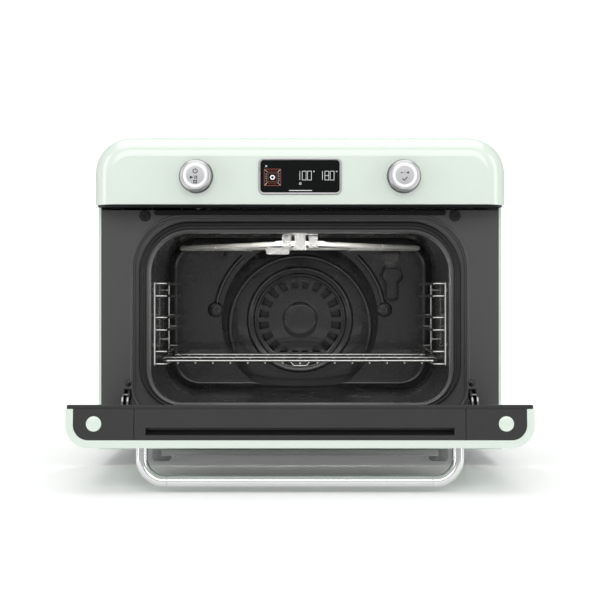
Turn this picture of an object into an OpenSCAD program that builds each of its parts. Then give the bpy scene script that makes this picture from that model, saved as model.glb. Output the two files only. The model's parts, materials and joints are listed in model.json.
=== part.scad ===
// Countertop convection oven with a drop-down door, shown with the door open.
// X runs across the front, Y runs from the door to the back and Z runs up from the floor.

/* [Body] */
// Width of the painted housing
body_w = 487; // [440:1:540]
// Height of the top face above the floor
body_top = 394; // [385:1:420]
// Depth from the front frame to the back of the housing
body_d = 410; // [395:1:480]
// Height of the underside of the body above the floor
body_bottom = 20; // [16:1:26]
// Radius of the housing's two top corners, seen from the front
body_corner = 44; // [30:1:60]
// Thickness of the housing sheet
sheet_t = 1.6; // [1:0.1:2.4]
// Thickness of the back panel
back_t = 1.5; // [1:0.1:2.5]
// How far the two rear spacers hold the body off a wall
spacer_d = 8.5; // [5:0.5:20]
// Diameter of a foot
foot_d = 24; // [18:1:34]
// Distance from the middle of the body to a foot
foot_x = 172; // [165:1:190]

/* [Front] */
// Height of the top edge of the front frame
frame_top = 308.5; // [300:0.5:312]
// Thickness of the front frame's sheet
frame_t = 1.5; // [1:0.1:2.5]
// Half the width of the recess around the oven mouth
rim_x = 202; // [195:0.5:202.5]
// Height of the top of the recess around the oven mouth
rim_top = 301; // [294:0.5:303]
// Height of the bottom of the recess around the oven mouth
rim_bottom = 62; // [56:0.5:66]
// Radius of the recess's top corners
rim_corner = 64; // [50:1:80]
// Depth of the recess around the oven mouth
rim_depth = 6; // [4:0.5:9]
// Half the width of the oven mouth
mouth_x = 181; // [170:0.5:184]
// Height of the top of the oven mouth
mouth_top = 281; // [270:0.5:285]
// Height of the bottom of the oven mouth
mouth_bottom = 75; // [72:0.5:80]
// Radius of the mouth's top corners
mouth_corner = 48; // [30:1:60]
// Thickness of the door gasket
gasket_d = 6; // [4:0.5:7]
// Width of the air deflector across the top of the front frame
deflector_w = 352; // [300:1:380]
// Spacing of the fins in the cooling air slot
fin_pitch = 35.6; // [20:0.1:50]

/* [Control panel] */
// Height of the control panel's lower edge above the floor
panel_bottom = 312; // [310:0.5:320]
// How far the control panel and the door stand out in front of the frame
panel_d = 47; // [40:0.5:60]
// Wall of the control panel and of the door's shell
panel_wall = 2.5; // [1.6:0.1:4]
// Radius between the front faces and the sides
front_edge = 24; // [12:1:30]
// Distance from the middle of the body to each round control
control_x = 122; // [100:1:150]
// Height of the round controls above the panel's lower edge
control_rise = 33.6; // [24:0.2:50]
// Diameter of a round control
control_d = 36.8; // [30:0.2:37]
// How far a round control stands out of its collar
control_h = 12.4; // [8:0.2:20]
// Travel of the power button
button_travel = 2; // [1:0.1:2.2]
// Travel of the set knob when it is pressed
knob_travel = 1.5; // [1:0.1:2]
// Diameter of the shafts behind the round controls
stem_d = 10; // [6:0.5:12]
// Width of the display's bezel
bezel_w = 98.4; // [80:0.2:140]
// Height of the display's bezel
bezel_h = 43.4; // [30:0.2:46]
// Width of the bezel's frame around the display window
bezel_rim = 2.6; // [1:0.2:5]

/* [Door] */
// Height of the door's lower edge when it is shut
door_bottom = 61; // [60:0.5:63]
// Height of the door's upper edge when it is shut
door_top = 309; // [304:0.5:309.5]
// Angle that the door opens to
door_angle = 85; // [80:1:88]
// Gap between the shut door's inner face and the front frame
door_gap = 2; // [2:0.1:4]
// Thickness of the door's inner panel
inner_panel_t = 4.6; // [3:0.1:8]
// Width of the painted flange around the door's top edge
door_flange = 8; // [5:0.5:12]
// Half the width of the trim in the middle of the door's top edge
top_trim_x = 172; // [150:1:190]
// Width of the air slot in the door's top trim
top_slot_w = 320; // [240:1:330]
// Width of the door's window
window_w = 330; // [260:1:360]
// Height of the door's window
window_h = 136; // [100:1:150]
// Height of the window's lower edge above the door's lower edge
window_rise = 38; // [30:1:50]
// Diameter of the two plugs in the door's top edge
plug_d = 16; // [10:0.5:20]
// Distance from the middle of the door to each plug
plug_x = 214; // [200:1:220]

/* [Handle] */
// Width of the handle over its two bends
handle_w = 344; // [300:1:380]
// How far the handle stands out of the door
handle_d = 41; // [35:0.5:44]
// Depth of the handle's flattened tube
handle_t = 12; // [8:0.5:14]
// Height of the handle's flattened tube
handle_h = 18; // [14:0.5:20]
// Outer radius of the handle's bends
handle_bend = 30; // [20:0.5:36]
// Distance from the door's top edge to the middle of the handle
handle_drop = 25; // [22:0.5:32]

/* [Hinge] */
// Height of the hinge pins above the floor
pivot_z = 66; // [65:0.5:67]
// Distance of the hinge pins in front of the frame
pivot_y = 8; // [7:0.5:10]
// Distance from the middle of the body to each hinge
hinge_x = 208; // [207.5:0.5:210]
// Diameter of a hinge pin
pin_d = 6; // [4:0.5:7]
// Radius of the hinge arms' curved tails
arm_r = 22; // [21:0.5:25]
// Width of the hinge arms' curved tails
arm_w = 7; // [6:0.5:9]
// Thickness of each plate of a hinge arm
arm_t = 1.8; // [1.2:0.1:2]
// Thickness of the fixed bracket between a hinge arm's plates
bracket_t = 3.6; // [3:0.1:4]

/* [Oven cavity] */
// Half the width of the cavity
cavity_x = 186; // [184:0.5:188]
// Height of the cavity's floor above the table
cavity_bottom = 70; // [66:0.5:72]
// Height of the cavity's ceiling above the table
cavity_top = 287; // [284:0.5:289]
// Distance from the front frame to the cavity's rear wall
cavity_d = 330; // [310:1:340]
// Radius of the cavity's corners
cavity_corner = 44; // [30:1:50]
// Thickness of the cavity's enamelled sheet
liner_t = 1.5; // [1:0.1:2]
// Thickness of the insulation around the cavity
insulation_t = 14; // [8:0.5:16]
// Diameter of the grill element's tube
element_d = 6.5; // [5:0.5:8]
// Height of the grill element above the table
element_z = 270; // [266:0.5:272]

/* [Shelf and racks] */
// Diameter of the side racks' wire
rack_wire = 3.4; // [2.5:0.1:4]
// Distance from the middle of the cavity to the racks' uprights
rack_x = 180; // [176:0.5:182]
// How far the guide rails stand in from the uprights
rail_in = 16; // [12:0.5:18]
// Distance from the front frame to the front uprights
rack_front = 40; // [30:1:60]
// Distance from the front frame to the rear uprights
rack_rear = 243; // [220:1:290]
// Height of the lowest guide rail above the table
rail_z = 120.5; // [112:0.5:124]
// Gap between the two rails of a guide
rail_gap = 15.5; // [12:0.5:18]
// Distance from one guide to the next
guide_pitch = 42; // [36:0.5:44]
// Half the width of the wire shelf
shelf_x = 175.6; // [172:0.2:176]
// Diameter of the shelf's outer wire
shelf_wire = 3.6; // [3:0.1:4.5]
// Diameter of the shelf's front-to-back wires
shelf_rod = 2.6; // [2:0.1:3]
// Spacing of the shelf's front-to-back wires
shelf_pitch = 21.6; // [15:0.1:30]
// How far the shelf slides out
shelf_travel = 170; // [100:5:180]

/* [Convection fan] */
// Height of the fan's centre above the table
fan_z = 170; // [168:1:180]
// Radius of the fan cover's flange
cover_r = 112; // [108:0.5:114]
// Radius of the raised middle of the fan cover
cover_top_r = 96; // [80:0.5:98]
// How far the fan cover stands out of the rear wall
cover_h = 8; // [5:0.5:12]
// Depth of the fan chamber behind the rear wall
chamber_d = 34; // [30:1:38]
// Radius of the fan wheel
wheel_r = 58; // [45:1:64]
// Number of blades on the fan wheel
wheel_blades = 14; // [8:1:20]
// Diameter of the fan motor's shaft
shaft_d = 8; // [6:0.5:10]
// Radius of the ring heater around the fan wheel
ring_r = 84; // [76:1:90]

/* [Cooling and electronics] */
// Radius of the cooling drum
drum_r = 24; // [18:1:28]
// Length of the cooling drum
drum_l = 200; // [140:1:220]
// Number of blades on the cooling drum
drum_blades = 20; // [12:1:28]
// Diameter of the cooling drum's end pins
drum_pin_d = 6; // [4:0.5:8]
// Distance from the front frame to the cooling drum's axis
drum_y = 125; // [100:1:160]

/* [Drip tray] */
// Width of the drip tray's front
tray_w = 334; // [300:1:334]
// Width of the drip tray's pan
pan_w = 308; // [280:1:310]
// Depth of the drip tray from front to back
tray_d = 190; // [140:1:230]
// Height of the drip tray's front
tray_h = 8; // [7:0.1:8.4]
// Wall of the drip tray
tray_wall = 1.2; // [0.8:0.1:1.4]
// How far the drip tray slides out
tray_travel = 120; // [60:5:140]

/* [Fits] */
// Radial clearance between a shaft and its bore
running_fit = 0.05; // [0.02:0.01:0.1]
// Clearance between separate pieces that slide or are dropped into place
loose_fit = 0.3; // [0.2:0.05:0.5]

/* [Hidden] */
$fn = 64;

// Overlap that makes a cut pass cleanly through a face
cut = 1;
half_w = body_w / 2;
back_y = body_d + back_t;
rear_y = back_y + spacer_d;

// The open door's front edge is the row's front, and the rear spacers are its back.
door_reach = door_top - pivot_z;
outer_off = panel_d - pivot_y;
open_front = -pivot_y - door_reach * sin(door_angle) - outer_off * cos(door_angle);
row_y = -(open_front + rear_y) / 2;

inner_x = half_w - sheet_t;
door_inner_y = -door_gap;
shell_back_y = door_inner_y - inner_panel_t;
shell_d = panel_d + shell_back_y;
door_h = door_top - door_bottom;
flange_t = 3;

deck_t = 1.5;
deck_z = frame_top - deck_t;
control_z = panel_bottom + control_rise;
collar_t = 3;
collar_r = control_d / 2 + 1.8;
collar_y = -panel_d - collar_t;
button_gap = 0.6;
cap_back_y = collar_y - button_travel - button_gap;
cap_face_y = cap_back_y - control_h;
cap_edge = 1.6;
stem_r = stem_d / 2;
guide_r = stem_r + running_fit;
stem_back_y = cap_back_y + 22;
guide_end_y = stem_back_y + button_travel + 4;
knob_wall = 5;

bezel_proud = 1.2;
window_recess = 0.5;
bezel_corner = 7;

glass_t = 4;
window_z = door_bottom + window_rise;
window_corner = 14;
trim_rim = 5;
trim_proud = 0.8;
inner_glass_w = 340;
inner_glass_h = 176;
inner_glass_rise = 36;
inner_glass_t = 3.4;
cap_depth = 14;
slot_back = 24;
slot_w = 8;
plug_back = 20;

slot_x = 9.6;
slot_low = rim_bottom - 3;
slot_high = pivot_z + arm_r + arm_w / 2 + 1;
arm_gap = 0.4;
hub_r = 6;
flange_w = 20;
flange_h = 12;
tail_low = -32;
tail_high = 110;
door_leg_h = 58;
cassette_y = 30;
cassette_l = 120;
cassette_h = 34;
cassette_t = 1.2;
spring_r = 5;

liner_x = cavity_x + liner_t;
liner_low = cavity_bottom - liner_t;
liner_high = cavity_top + liner_t;
liner_front = rim_depth + liner_t;
liner_back = cavity_d + liner_t;
collar_in = 8;
mouth_wall = 2;
gasket_proud = 0.8;

shelf_z = rail_z + rack_wire / 2 + shelf_wire / 2 + 0.3;
shelf_front = rack_front + 8;
shelf_rear = rack_rear - 18;
shelf_corner = 12;
rod_z = shelf_z - shelf_wire / 2 - shelf_rod / 2 + 0.2;
rod_count = 2 * floor((shelf_x - rail_in - shelf_wire) / shelf_pitch) + 1;

chamber_r = cover_r - 4;
chamber_back = liner_back + chamber_d;
wheel_front = liner_back + 5;
wheel_back = chamber_back - 8;
motor_front = chamber_back + 4;
motor_back = body_d - 8;
terminal_x = 16;
grill_terminal_x = 70;
grill_front_x = 30;
support_r = 2;

blower_x = drum_l / 2;
blower_z = frame_top + drum_r + 9;
tray_z = body_bottom - tray_h - 0.2;
foot_front = 55;
foot_rear = body_d - 40;

// Places a child in the row's frame
module in_row() translate([0, row_y, 0]) children();

// Places a child on the door, which turns about the hinge pins from shut to open
module on_door()
    in_row() translate([0, -pivot_y, pivot_z]) rotate([door_angle, 0, 0])
        translate([0, pivot_y, -pivot_z]) children();

// Both sides of the body
module each_side() for (s = [-1, 1]) scale_x(s) children();
module scale_x(s) if (s > 0) children(); else mirror([1, 0, 0]) children();

// An outline in X and Z, from y0 back to y1
module slab(y0, y1) translate([0, y1, 0]) rotate([90, 0, 0]) linear_extrude(y1 - y0) children();

// An outline in Y and Z, from x0 to x1
module bar(x0, x1) translate([x0, 0, 0]) rotate([90, 0, 90]) linear_extrude(x1 - x0) children();

module rod_x(r, x0, x1) translate([x0, 0, 0]) rotate([0, 90, 0]) cylinder(r = r, h = x1 - x0);
module rod_y(r, y0, y1) translate([0, y1, 0]) rotate([90, 0, 0]) cylinder(r = r, h = y1 - y0);

// A box from its low corner to its high corner
module block(low, high) translate(low) cube(high - low);

// An upright rectangle, centred in X, from z0 to z1, with its own radius below and above
module plate(half, z0, z1, r_low, r_high) {
    mid = (z0 + z1) / 2;
    translate([-half, z0 + r_low]) square([2 * half, z1 - z0 - r_low - r_high]);
    if (r_low > 0) {
        translate([-half + r_low, z0]) square([2 * (half - r_low), mid - z0]);
        for (s = [-1, 1]) translate([s * (half - r_low), z0 + r_low]) circle(r_low);
    }
    if (r_high > 0) {
        translate([-half + r_high, mid]) square([2 * (half - r_high), z1 - mid]);
        for (s = [-1, 1]) translate([s * (half - r_high), z1 - r_high]) circle(r_high);
    }
}

// A quarter-round lip: across from 0 to the edge radius, and t deep
module lip(t, edge) {
    square([edge, t - edge]);
    intersection() {
        translate([0, t - edge]) circle(edge);
        translate([0, t - edge]) square(edge);
    }
}

// A blank with its face towards -Y, sharp along z = 0 and rounded over its other three edges
module bowed(w, h, t, corner, edge) {
    slab(-t, 0) plate(w / 2 - edge, 0, h - edge, 0, corner - edge);
    for (s = [-1, 1]) scale_x(s) {
        translate([w / 2 - edge, 0, 0]) linear_extrude(h - corner) mirror([0, 1]) lip(t, edge);
        translate([w / 2 - corner, 0, h - corner]) rotate([90, 0, 0]) rotate_extrude(angle = 90) {
            square([corner - edge, t]);
            translate([corner - edge, 0]) lip(t, edge);
        }
    }
    translate([w / 2 - corner, 0, h - edge]) rotate([0, -90, 0])
        linear_extrude(w - 2 * corner) mirror([0, 1]) lip(t, edge);
}

// The hollow of a bowed blank, with the wall given and open along its back and its sharp edge
module bowed_hollow(w, h, t, corner, edge, wall)
    translate([0, cut, -cut])
        bowed(w - 2 * wall, h - wall + cut, t - wall + cut, corner - wall, edge - wall);

// How far a path turns at point i, positive to the left
function turn(path, i) = let (a = path[i] - path[i - 1], b = path[i + 1] - path[i])
    atan2(a.x * b.y - a.y * b.x, a * b);

// A wire or tube that lies flat along a path, with round bends
module bent_wire(path, bend, r) {
    last = len(path) - 1;
    take = [for (i = [0 : last]) (i == 0 || i == last) ? 0 : bend * tan(abs(turn(path, i)) / 2)];
    for (i = [0 : last - 1]) {
        run = path[i + 1] - path[i];
        way = run / norm(run);
        heading = atan2(run.y, run.x);
        start = path[i] + take[i] * way;
        translate(start) rotate([0, 0, heading]) rod_x(r, 0, norm(run) - take[i] - take[i + 1]);
        if (i > 0) {
            bent = turn(path, i);
            centre = start + sign(bent) * bend * [-way.y, way.x];
            translate(centre) rotate([0, 0, heading - sign(bent) * 90 - max(bent, 0)])
                rotate_extrude(angle = abs(bent)) translate([bend, 0]) circle(r);
        }
    }
}

// Outline of the housing, from its bottom edge up
module housing_outline(inset)
    plate(half_w - inset, body_bottom, body_top - inset, 0, body_corner - inset);

// Outline of a control panel or door section seen from above, with round front corners
module plan(half, y0, y1, r) {
    translate([-half, y0 + r]) square([2 * half, y1 - y0 - r]);
    if (r > 0) {
        translate([-half + r, y0]) square([2 * (half - r), r]);
        for (s = [-1, 1]) translate([s * (half - r), y0 + r]) circle(r);
    }
}

// ---- Casing ----

module housing() color("honeydew") in_row() slab(0, body_d) difference() {
    housing_outline(0);
    translate([0, -cut]) housing_outline(sheet_t);
    translate([-inner_x, body_bottom - cut]) square([2 * inner_x, 2 * cut]);
}

vent_l = 56;
vent_pitch = 8;
gland_x = 180;
gland_z = 58;
gland_r = 8;
screw_r = 1.5;
screw_head_r = 3.6;
screw_spots = [[-230, 60], [-230, 190], [-230, 320], [230, 60], [230, 190], [230, 320],
               [-120, 380], [120, 380], [-120, 32], [120, 32]];

module back_panel() color("gainsboro") in_row() difference() {
    slab(body_d, back_y) housing_outline(0);
    for (x = [-95, 0, 95], z = [262 : vent_pitch : 334])
        block([x - vent_l / 2, body_d - cut, z], [x + vent_l / 2, back_y + cut, z + vent_pitch / 2]);
    translate([-gland_x, 0, gland_z]) rod_y(gland_r, body_d - cut, back_y + cut);
    for (p = screw_spots) translate([p.x, 0, p.y]) rod_y(screw_r, body_d - cut, back_y + cut);
}

module case_screws() color("silver") in_row() for (p = screw_spots) translate([p.x, 0, p.y]) {
    rod_y(screw_r, body_d - 6, back_y);
    rod_y(screw_head_r, back_y, back_y + 2);
}

module wall_spacers() color("dimgray") in_row() each_side()
    translate([150, 0, 0]) slab(back_y, rear_y) plate(16, 350, 374, 4, 4);

module cord_gland() color("dimgray") in_row() translate([-gland_x, 0, gland_z]) difference() {
    union() {
        rod_y(gland_r, body_d - 4, back_y);
        rod_y(gland_r + 3, back_y, back_y + 5);
    }
    rod_y(gland_r - 4, body_d - 5, back_y + 6);
}

base_t = 1.5;
base_lip = 10;
module base_plate() color("darkgray") in_row() {
    block([-inner_x, 0, body_bottom], [inner_x, body_d, body_bottom + base_t]);
    each_side() block([inner_x - base_t, frame_t + 1, body_bottom],
                      [inner_x, body_d, body_bottom + base_lip]);
}

module feet() color("dimgray") in_row() each_side() for (y = [foot_front, foot_rear])
    translate([foot_x, y, 0]) {
        cylinder(r = foot_d / 2 - 1.5, h = 2);
        translate([0, 0, 2]) cylinder(r = foot_d / 2, h = body_bottom - 2);
    }

guide_t = 1.4;
guide_in = 3;
module tray_guides() color("gray") in_row() each_side() {
    block([pan_w / 2 + loose_fit, 2, tray_z - loose_fit - guide_t],
          [pan_w / 2 + loose_fit + guide_t, tray_d + 4, body_bottom]);
    block([pan_w / 2 - guide_in, 2, tray_z - loose_fit - guide_t],
          [pan_w / 2 + loose_fit + guide_t, tray_d + 4, tray_z - loose_fit]);
}

module lower_trim() color("honeydew") in_row()
    slab(-sheet_t, 0) plate(half_w, body_bottom, slot_low - 2, 0, 0);

// ---- Front frame ----

module hinge_slot(y0, y1) each_side()
    block([hinge_x - slot_x / 2, y0, slot_low], [hinge_x + slot_x / 2, y1, slot_high]);

module rim(inset) plate(rim_x - inset, rim_bottom + inset, rim_top - inset,
                        rim_corner / 2 - inset, rim_corner - inset);
module mouth(out) plate(mouth_x + out, mouth_bottom - out, mouth_top + out,
                        mouth_corner * 0.8 + out, mouth_corner + out);

module front_frame() color("dimgray") in_row() difference() {
    union() {
        slab(0, frame_t) difference() {
            plate(inner_x, body_bottom + base_t, frame_top, 0, 0);
            rim(0);
        }
        slab(0, rim_depth) difference() { rim(0); rim(frame_t); }
        slab(rim_depth - frame_t, rim_depth) difference() { rim(frame_t); mouth(mouth_wall); }
        slab(rim_depth - frame_t, rim_depth + collar_in) difference() { mouth(mouth_wall); mouth(0); }
    }
    hinge_slot(-cut, frame_t + cut);
}

module air_deflector() color("dimgray") in_row()
    slab(-1.4, 0) plate(deflector_w / 2, rim_top + 1, frame_top, 2.8, 2.8);

fin_count = floor((inner_x - fin_pitch / 2) / fin_pitch);
module vent_grille() color("black") in_row() {
    translate([0, 0, panel_bottom]) linear_extrude(2)
        plan(half_w - panel_wall, panel_wall - panel_d, 0, front_edge - panel_wall);
    for (i = [-fin_count : fin_count]) translate([i * fin_pitch, 0, 0])
        block([-1, -2.5, door_top + loose_fit], [1, 0, panel_bottom]);
}

module door_bumpers() color("black") in_row() each_side()
    translate([rim_x - 15, 0, frame_top - 7]) difference() {
        rod_y(6.2, loose_fit - door_gap, 0);
        rod_y(2, -door_gap, -0.8);
    }

module door_gasket() color("black") in_row() {
    out = mouth_wall + 0.2;
    slab(-gasket_proud, rim_depth - frame_t) difference() { mouth(out + gasket_d); mouth(out); }
}

// ---- Oven cavity ----

module cavity_outline(out) plate(cavity_x + out, cavity_bottom - out, cavity_top + out,
                                 cavity_corner + out, cavity_corner + out);

lens_x = 130;
lens_z = 258;
probe_x = 110;
probe_z = 262;
module cavity_liner() color("darkslategray") in_row() difference() {
    union() {
        slab(liner_front, liner_back) difference() { cavity_outline(liner_t); cavity_outline(0); }
        slab(cavity_d, liner_back) cavity_outline(0);
        slab(rim_depth, liner_front) difference() {
            cavity_outline(insulation_t / 2);
            mouth(mouth_wall);
        }
    }
    translate([0, 0, fan_z]) rod_y(cover_top_r - 4, cavity_d - cut, liner_back + cut);
    translate([lens_x, 0, lens_z]) rod_y(12, cavity_d - cut, liner_back + cut);
    translate([-probe_x, 0, probe_z]) rod_y(3.1, cavity_d - cut, liner_back + cut);
    each_side() translate([grill_terminal_x, 0, element_z])
        rod_y(element_d / 2, cavity_d - cut, liner_back + cut);
}

module insulation() color("khaki") in_row() slab(cassette_y, liner_back) difference() {
    cavity_outline(liner_t + insulation_t);
    cavity_outline(liner_t);
}

bracket_y = 60;
// A tube through flat points, with a pressed drum a little wider than the tube at each bend
module jointed_tube(path, r) for (i = [0 : len(path) - 2]) {
    run = path[i + 1] - path[i];
    translate(path[i]) rotate([0, 0, atan2(run.y, run.x)]) rod_x(r, 0, norm(run));
    if (i > 0) translate(path[i]) cylinder(r = r + 0.5, h = 2 * r + 0.4, center = true);
}

module grill_element() color("silver") in_row() translate([0, 0, element_z]) {
    far_y = cavity_d - 34;
    side_x = cavity_x - 22;
    half = [[grill_terminal_x, liner_back + 12], [grill_terminal_x, far_y], [side_x, far_y],
            [side_x, far_y - 30], [grill_front_x, bracket_y + 24], [grill_front_x, bracket_y]];
    jointed_tube(concat(half, [for (i = [len(half) - 1 : -1 : 0]) [-half[i].x, half[i].y]]), element_d / 2);
    translate([0, far_y, 0]) rod_x(support_r, -grill_terminal_x, grill_terminal_x);
}

module element_bracket() color("whitesmoke") in_row() difference() {
    union() {
        block([-22, bracket_y - 8, element_z - 6], [22, bracket_y + 8, element_z + 6]);
        block([-9, bracket_y - 8, element_z + 6], [9, bracket_y + 8, cavity_top]);
    }
    block([-17, bracket_y - 5, element_z - 7], [17, bracket_y + 9, element_z + 4]);
    translate([0, bracket_y, element_z]) rod_x(element_d / 2, -grill_front_x, grill_front_x);
}

lug_x = 121;
lug_z = fan_z + 14;
slot_count = 20;
module fan_cover() color("dimgray") in_row() {
    wall = 1.5;
    difference() {
        union() {
            slab(cavity_d - wall, cavity_d) intersection() {
                translate([0, fan_z]) circle(cover_r);
                cavity_outline(-loose_fit);
            }
            translate([0, 0, fan_z]) rod_y(cover_top_r, cavity_d - cover_h, cavity_d - wall);
            each_side() translate([lug_x, 0, lug_z]) rod_y(11, cavity_d - 4, cavity_d);
        }
        translate([0, 0, fan_z]) {
            rod_y(cover_top_r - wall, cavity_d - cover_h + wall, cavity_d + cut);
            for (i = [0 : slot_count - 1]) rotate([0, i * 360 / slot_count, 0])
                block([44, cavity_d - cover_h - cut, -4.4], [58, cavity_d - cover_h + wall + cut, 4.4]);
        }
    }
}

module fan_chamber() color("silver") in_row() translate([0, 0, fan_z]) difference() {
    rod_y(chamber_r + liner_t, liner_back, chamber_back);
    rod_y(chamber_r, liner_back - cut, chamber_back - liner_t);
    rod_y(shaft_d / 2 + 2, liner_back, chamber_back + cut);
    each_side() translate([terminal_x, 0, -ring_r]) rod_y(element_d / 2, chamber_back - 3, chamber_back + cut);
}

module ring_heater() color("silver") in_row() translate([0, 0, fan_z]) {
    mid_y = (wheel_front + wheel_back) / 2;
    translate([0, mid_y, 0]) rotate([90, 0, 0]) rotate_extrude() translate([ring_r, 0]) circle(element_d / 2);
    each_side() translate([terminal_x, 0, -ring_r]) rod_y(element_d / 2, mid_y, chamber_back + 10);
}

module fan_motor() color("gray") in_row() translate([0, 0, fan_z]) difference() {
    union() {
        slab(motor_front, motor_back) plate(32, -32, 32, 6, 6);
        rod_y(14, chamber_back, motor_front);
    }
    rod_y(shaft_d / 2 + running_fit, chamber_back - cut, motor_back + cut);
}

module fan_shaft() color("lightgray") in_row() translate([0, 0, fan_z])
    rod_y(shaft_d / 2, wheel_front - 4, motor_back + 3);

module fan_wheel() color("silver") in_row() translate([0, 0, fan_z]) difference() {
    union() {
        rod_y(wheel_r, wheel_back - 1.2, wheel_back);
        rod_y(shaft_d / 2 + 5, wheel_front, wheel_back);
        for (i = [0 : wheel_blades - 1]) rotate([0, i * 360 / wheel_blades, 0])
            block([shaft_d / 2 + 20, wheel_front, -0.6], [wheel_r - 2, wheel_back - 0.6, 0.6]);
    }
    rod_y(shaft_d / 2, wheel_front - cut, wheel_back + cut);
}

module lamp_lens() color("lightcyan") in_row() translate([lens_x, 0, lens_z]) {
    rod_y(15, cavity_d - 3, cavity_d);
    rod_y(12, cavity_d, liner_back + 2);
}

module oven_lamp() color("whitesmoke") in_row() translate([lens_x, 0, lens_z]) {
    rod_y(7, liner_back + 3, liner_back + 12);
    rod_y(14, liner_back + 12, liner_back + 34);
}

module temperature_probe() color("silver") in_row() translate([-probe_x, 0, probe_z]) {
    rod_y(3.1, cavity_d - 46, liner_back + 10);
    rod_y(7, cavity_d - 2, cavity_d);
}

// ---- Racks and shelf ----

guide_count = 3;
rail_bend = 5;
rack_top = rail_z + (guide_count - 1) * guide_pitch + rail_gap;
module rack() {
    r = rack_wire / 2;
    rail_x = rack_x - rail_in;
    for (y = [rack_front, rack_rear])
        translate([rack_x, y, rail_z - r]) cylinder(r = r + 0.3, h = rack_top + 2 * r - rail_z);
    for (g = [0 : guide_count - 1], up = [0, rail_gap])
        translate([0, 0, rail_z + g * guide_pitch + up])
            bent_wire([[rack_x, rack_front], [rail_x, rack_front], [rail_x, rack_rear], [rack_x, rack_rear]],
                      rail_bend, r);
    for (y = [rack_front, rack_rear], z = [rail_z + 24, rack_top - 8]) translate([0, y, z])
        rod_x(4, rack_x, cavity_x);
}
module rack_left() color("silver") in_row() mirror([1, 0, 0]) rack();
module rack_right() color("silver") in_row() rack();

module wire_shelf() color("lightgray") in_row() {
    r = shelf_wire / 2;
    c = shelf_corner;
    // Outer wire: four runs and four bends
    for (y = [shelf_front, shelf_rear]) translate([0, y, shelf_z]) rod_x(r, c - shelf_x, shelf_x - c);
    each_side() {
        translate([shelf_x, 0, shelf_z]) rod_y(r, shelf_front + c, shelf_rear - c);
        translate([shelf_x - c, shelf_front + c, shelf_z]) rotate([0, 0, -90]) rotate_extrude(angle = 90)
            translate([c, 0]) circle(r);
        translate([shelf_x - c, shelf_rear - c, shelf_z]) rotate_extrude(angle = 90)
            translate([c, 0]) circle(r);
    }
    translate([0, (shelf_front + shelf_rear) / 2, shelf_z]) rod_x(r, -shelf_x, shelf_x);
    for (i = [-(rod_count - 1) / 2 : (rod_count - 1) / 2]) translate([i * shelf_pitch, 0, rod_z])
        rod_y(shelf_rod / 2, shelf_front - 1, shelf_rear + 1);
}

// ---- Cooling and electronics ----

module bay_deck() color("silver") in_row() block([-inner_x, frame_t, deck_z], [inner_x, body_d, frame_top]);

blower_t = 1.5;
blower_half = drum_r + 7;
blower_high = blower_z + drum_r + 7;
module blower_housing() color("silver") in_row() {
    end_x = blower_x + 6;
    bar(-end_x, end_x) difference() {
        translate([drum_y - blower_half, frame_top]) square([2 * blower_half, blower_high - frame_top]);
        translate([drum_y - blower_half - cut, frame_top - cut])
            square([2 * blower_half + cut - blower_t, blower_high - blower_t - frame_top + cut]);
    }
    each_side() difference() {
        block([end_x, drum_y - blower_half, frame_top], [end_x + blower_t, drum_y + blower_half, blower_high]);
        translate([0, drum_y, blower_z]) rod_x(drum_pin_d / 2 + running_fit, end_x - cut, end_x + blower_t + cut);
    }
}

module blower_drum() color("gray") in_row() translate([0, drum_y, blower_z]) {
    for (x = [-blower_x, -1, blower_x - 2]) translate([x, 0, 0]) rod_x(drum_r, 0, 2);
    for (i = [0 : drum_blades - 1]) rotate([i * 360 / drum_blades, 0, 0])
        block([-blower_x, -0.6, drum_r - 8], [blower_x, 0.6, drum_r - 1]);
    each_side() rod_x(drum_pin_d / 2, blower_x, blower_x + 16);
}

module blower_motor() color("dimgray") in_row() translate([0, drum_y, blower_z]) difference() {
    rod_x(20, blower_x + 8, blower_x + 34);
    rod_x(drum_pin_d / 2 + running_fit, blower_x + 7, blower_x + 22);
}

module power_board() color("seagreen") in_row() {
    z = frame_top + 6;
    block([-225, 60, z], [-130, 220, z + 1.6]);
    for (x = [-218, -137], y = [68, 212]) translate([x, y, frame_top]) cylinder(r = 3, h = 6);
    block([-215, 90, z + 1.6], [-185, 120, z + 22]);
    block([-172, 80, z + 1.6], [-152, 96, z + 16]);
    block([-172, 104, z + 1.6], [-152, 120, z + 16]);
    for (y = [150, 172]) translate([-200, y, z + 1.6]) cylinder(r = 8, h = 24);
}

// ---- Control panel ----

module fascia() color("honeydew") in_row() difference() {
    h = body_top - panel_bottom;
    translate([0, 0, panel_bottom]) difference() {
        bowed(body_w, h, panel_d, body_corner, front_edge);
        bowed_hollow(body_w, h, panel_d, body_corner, front_edge, panel_wall);
    }
    each_side() translate([control_x, 0, control_z]) rod_y(stem_r + 1, -panel_d - cut, 0);
    slab(-panel_d - cut, 0) display_outline(bezel_rim);
}

module display_outline(inset) plate(bezel_w / 2 - inset, control_z - bezel_h / 2 + inset,
                                    control_z + bezel_h / 2 - inset, bezel_corner - inset, bezel_corner - inset);

module display_bezel() color("silver") in_row() slab(-panel_d - bezel_proud, -panel_d) difference() {
    display_outline(0);
    display_outline(bezel_rim);
}

module display_window() color("black") in_row()
    slab(-panel_d - window_recess, panel_wall - panel_d) display_outline(bezel_rim);

module display_module() color("seagreen") in_row() {
    block([-90, 8 - panel_d, control_z - 17], [90, 9.6 - panel_d, control_z + 32]);
    block([-42, panel_wall - panel_d, control_z - 15], [42, 8 - panel_d, control_z + 15]);
}

module control_collars() color("silver") in_row() each_side() translate([control_x, 0, control_z])
    difference() {
        rod_y(collar_r, collar_y, -panel_d);
        rod_y(stem_r + 1, collar_y - cut, -panel_d + cut);
    }

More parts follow.
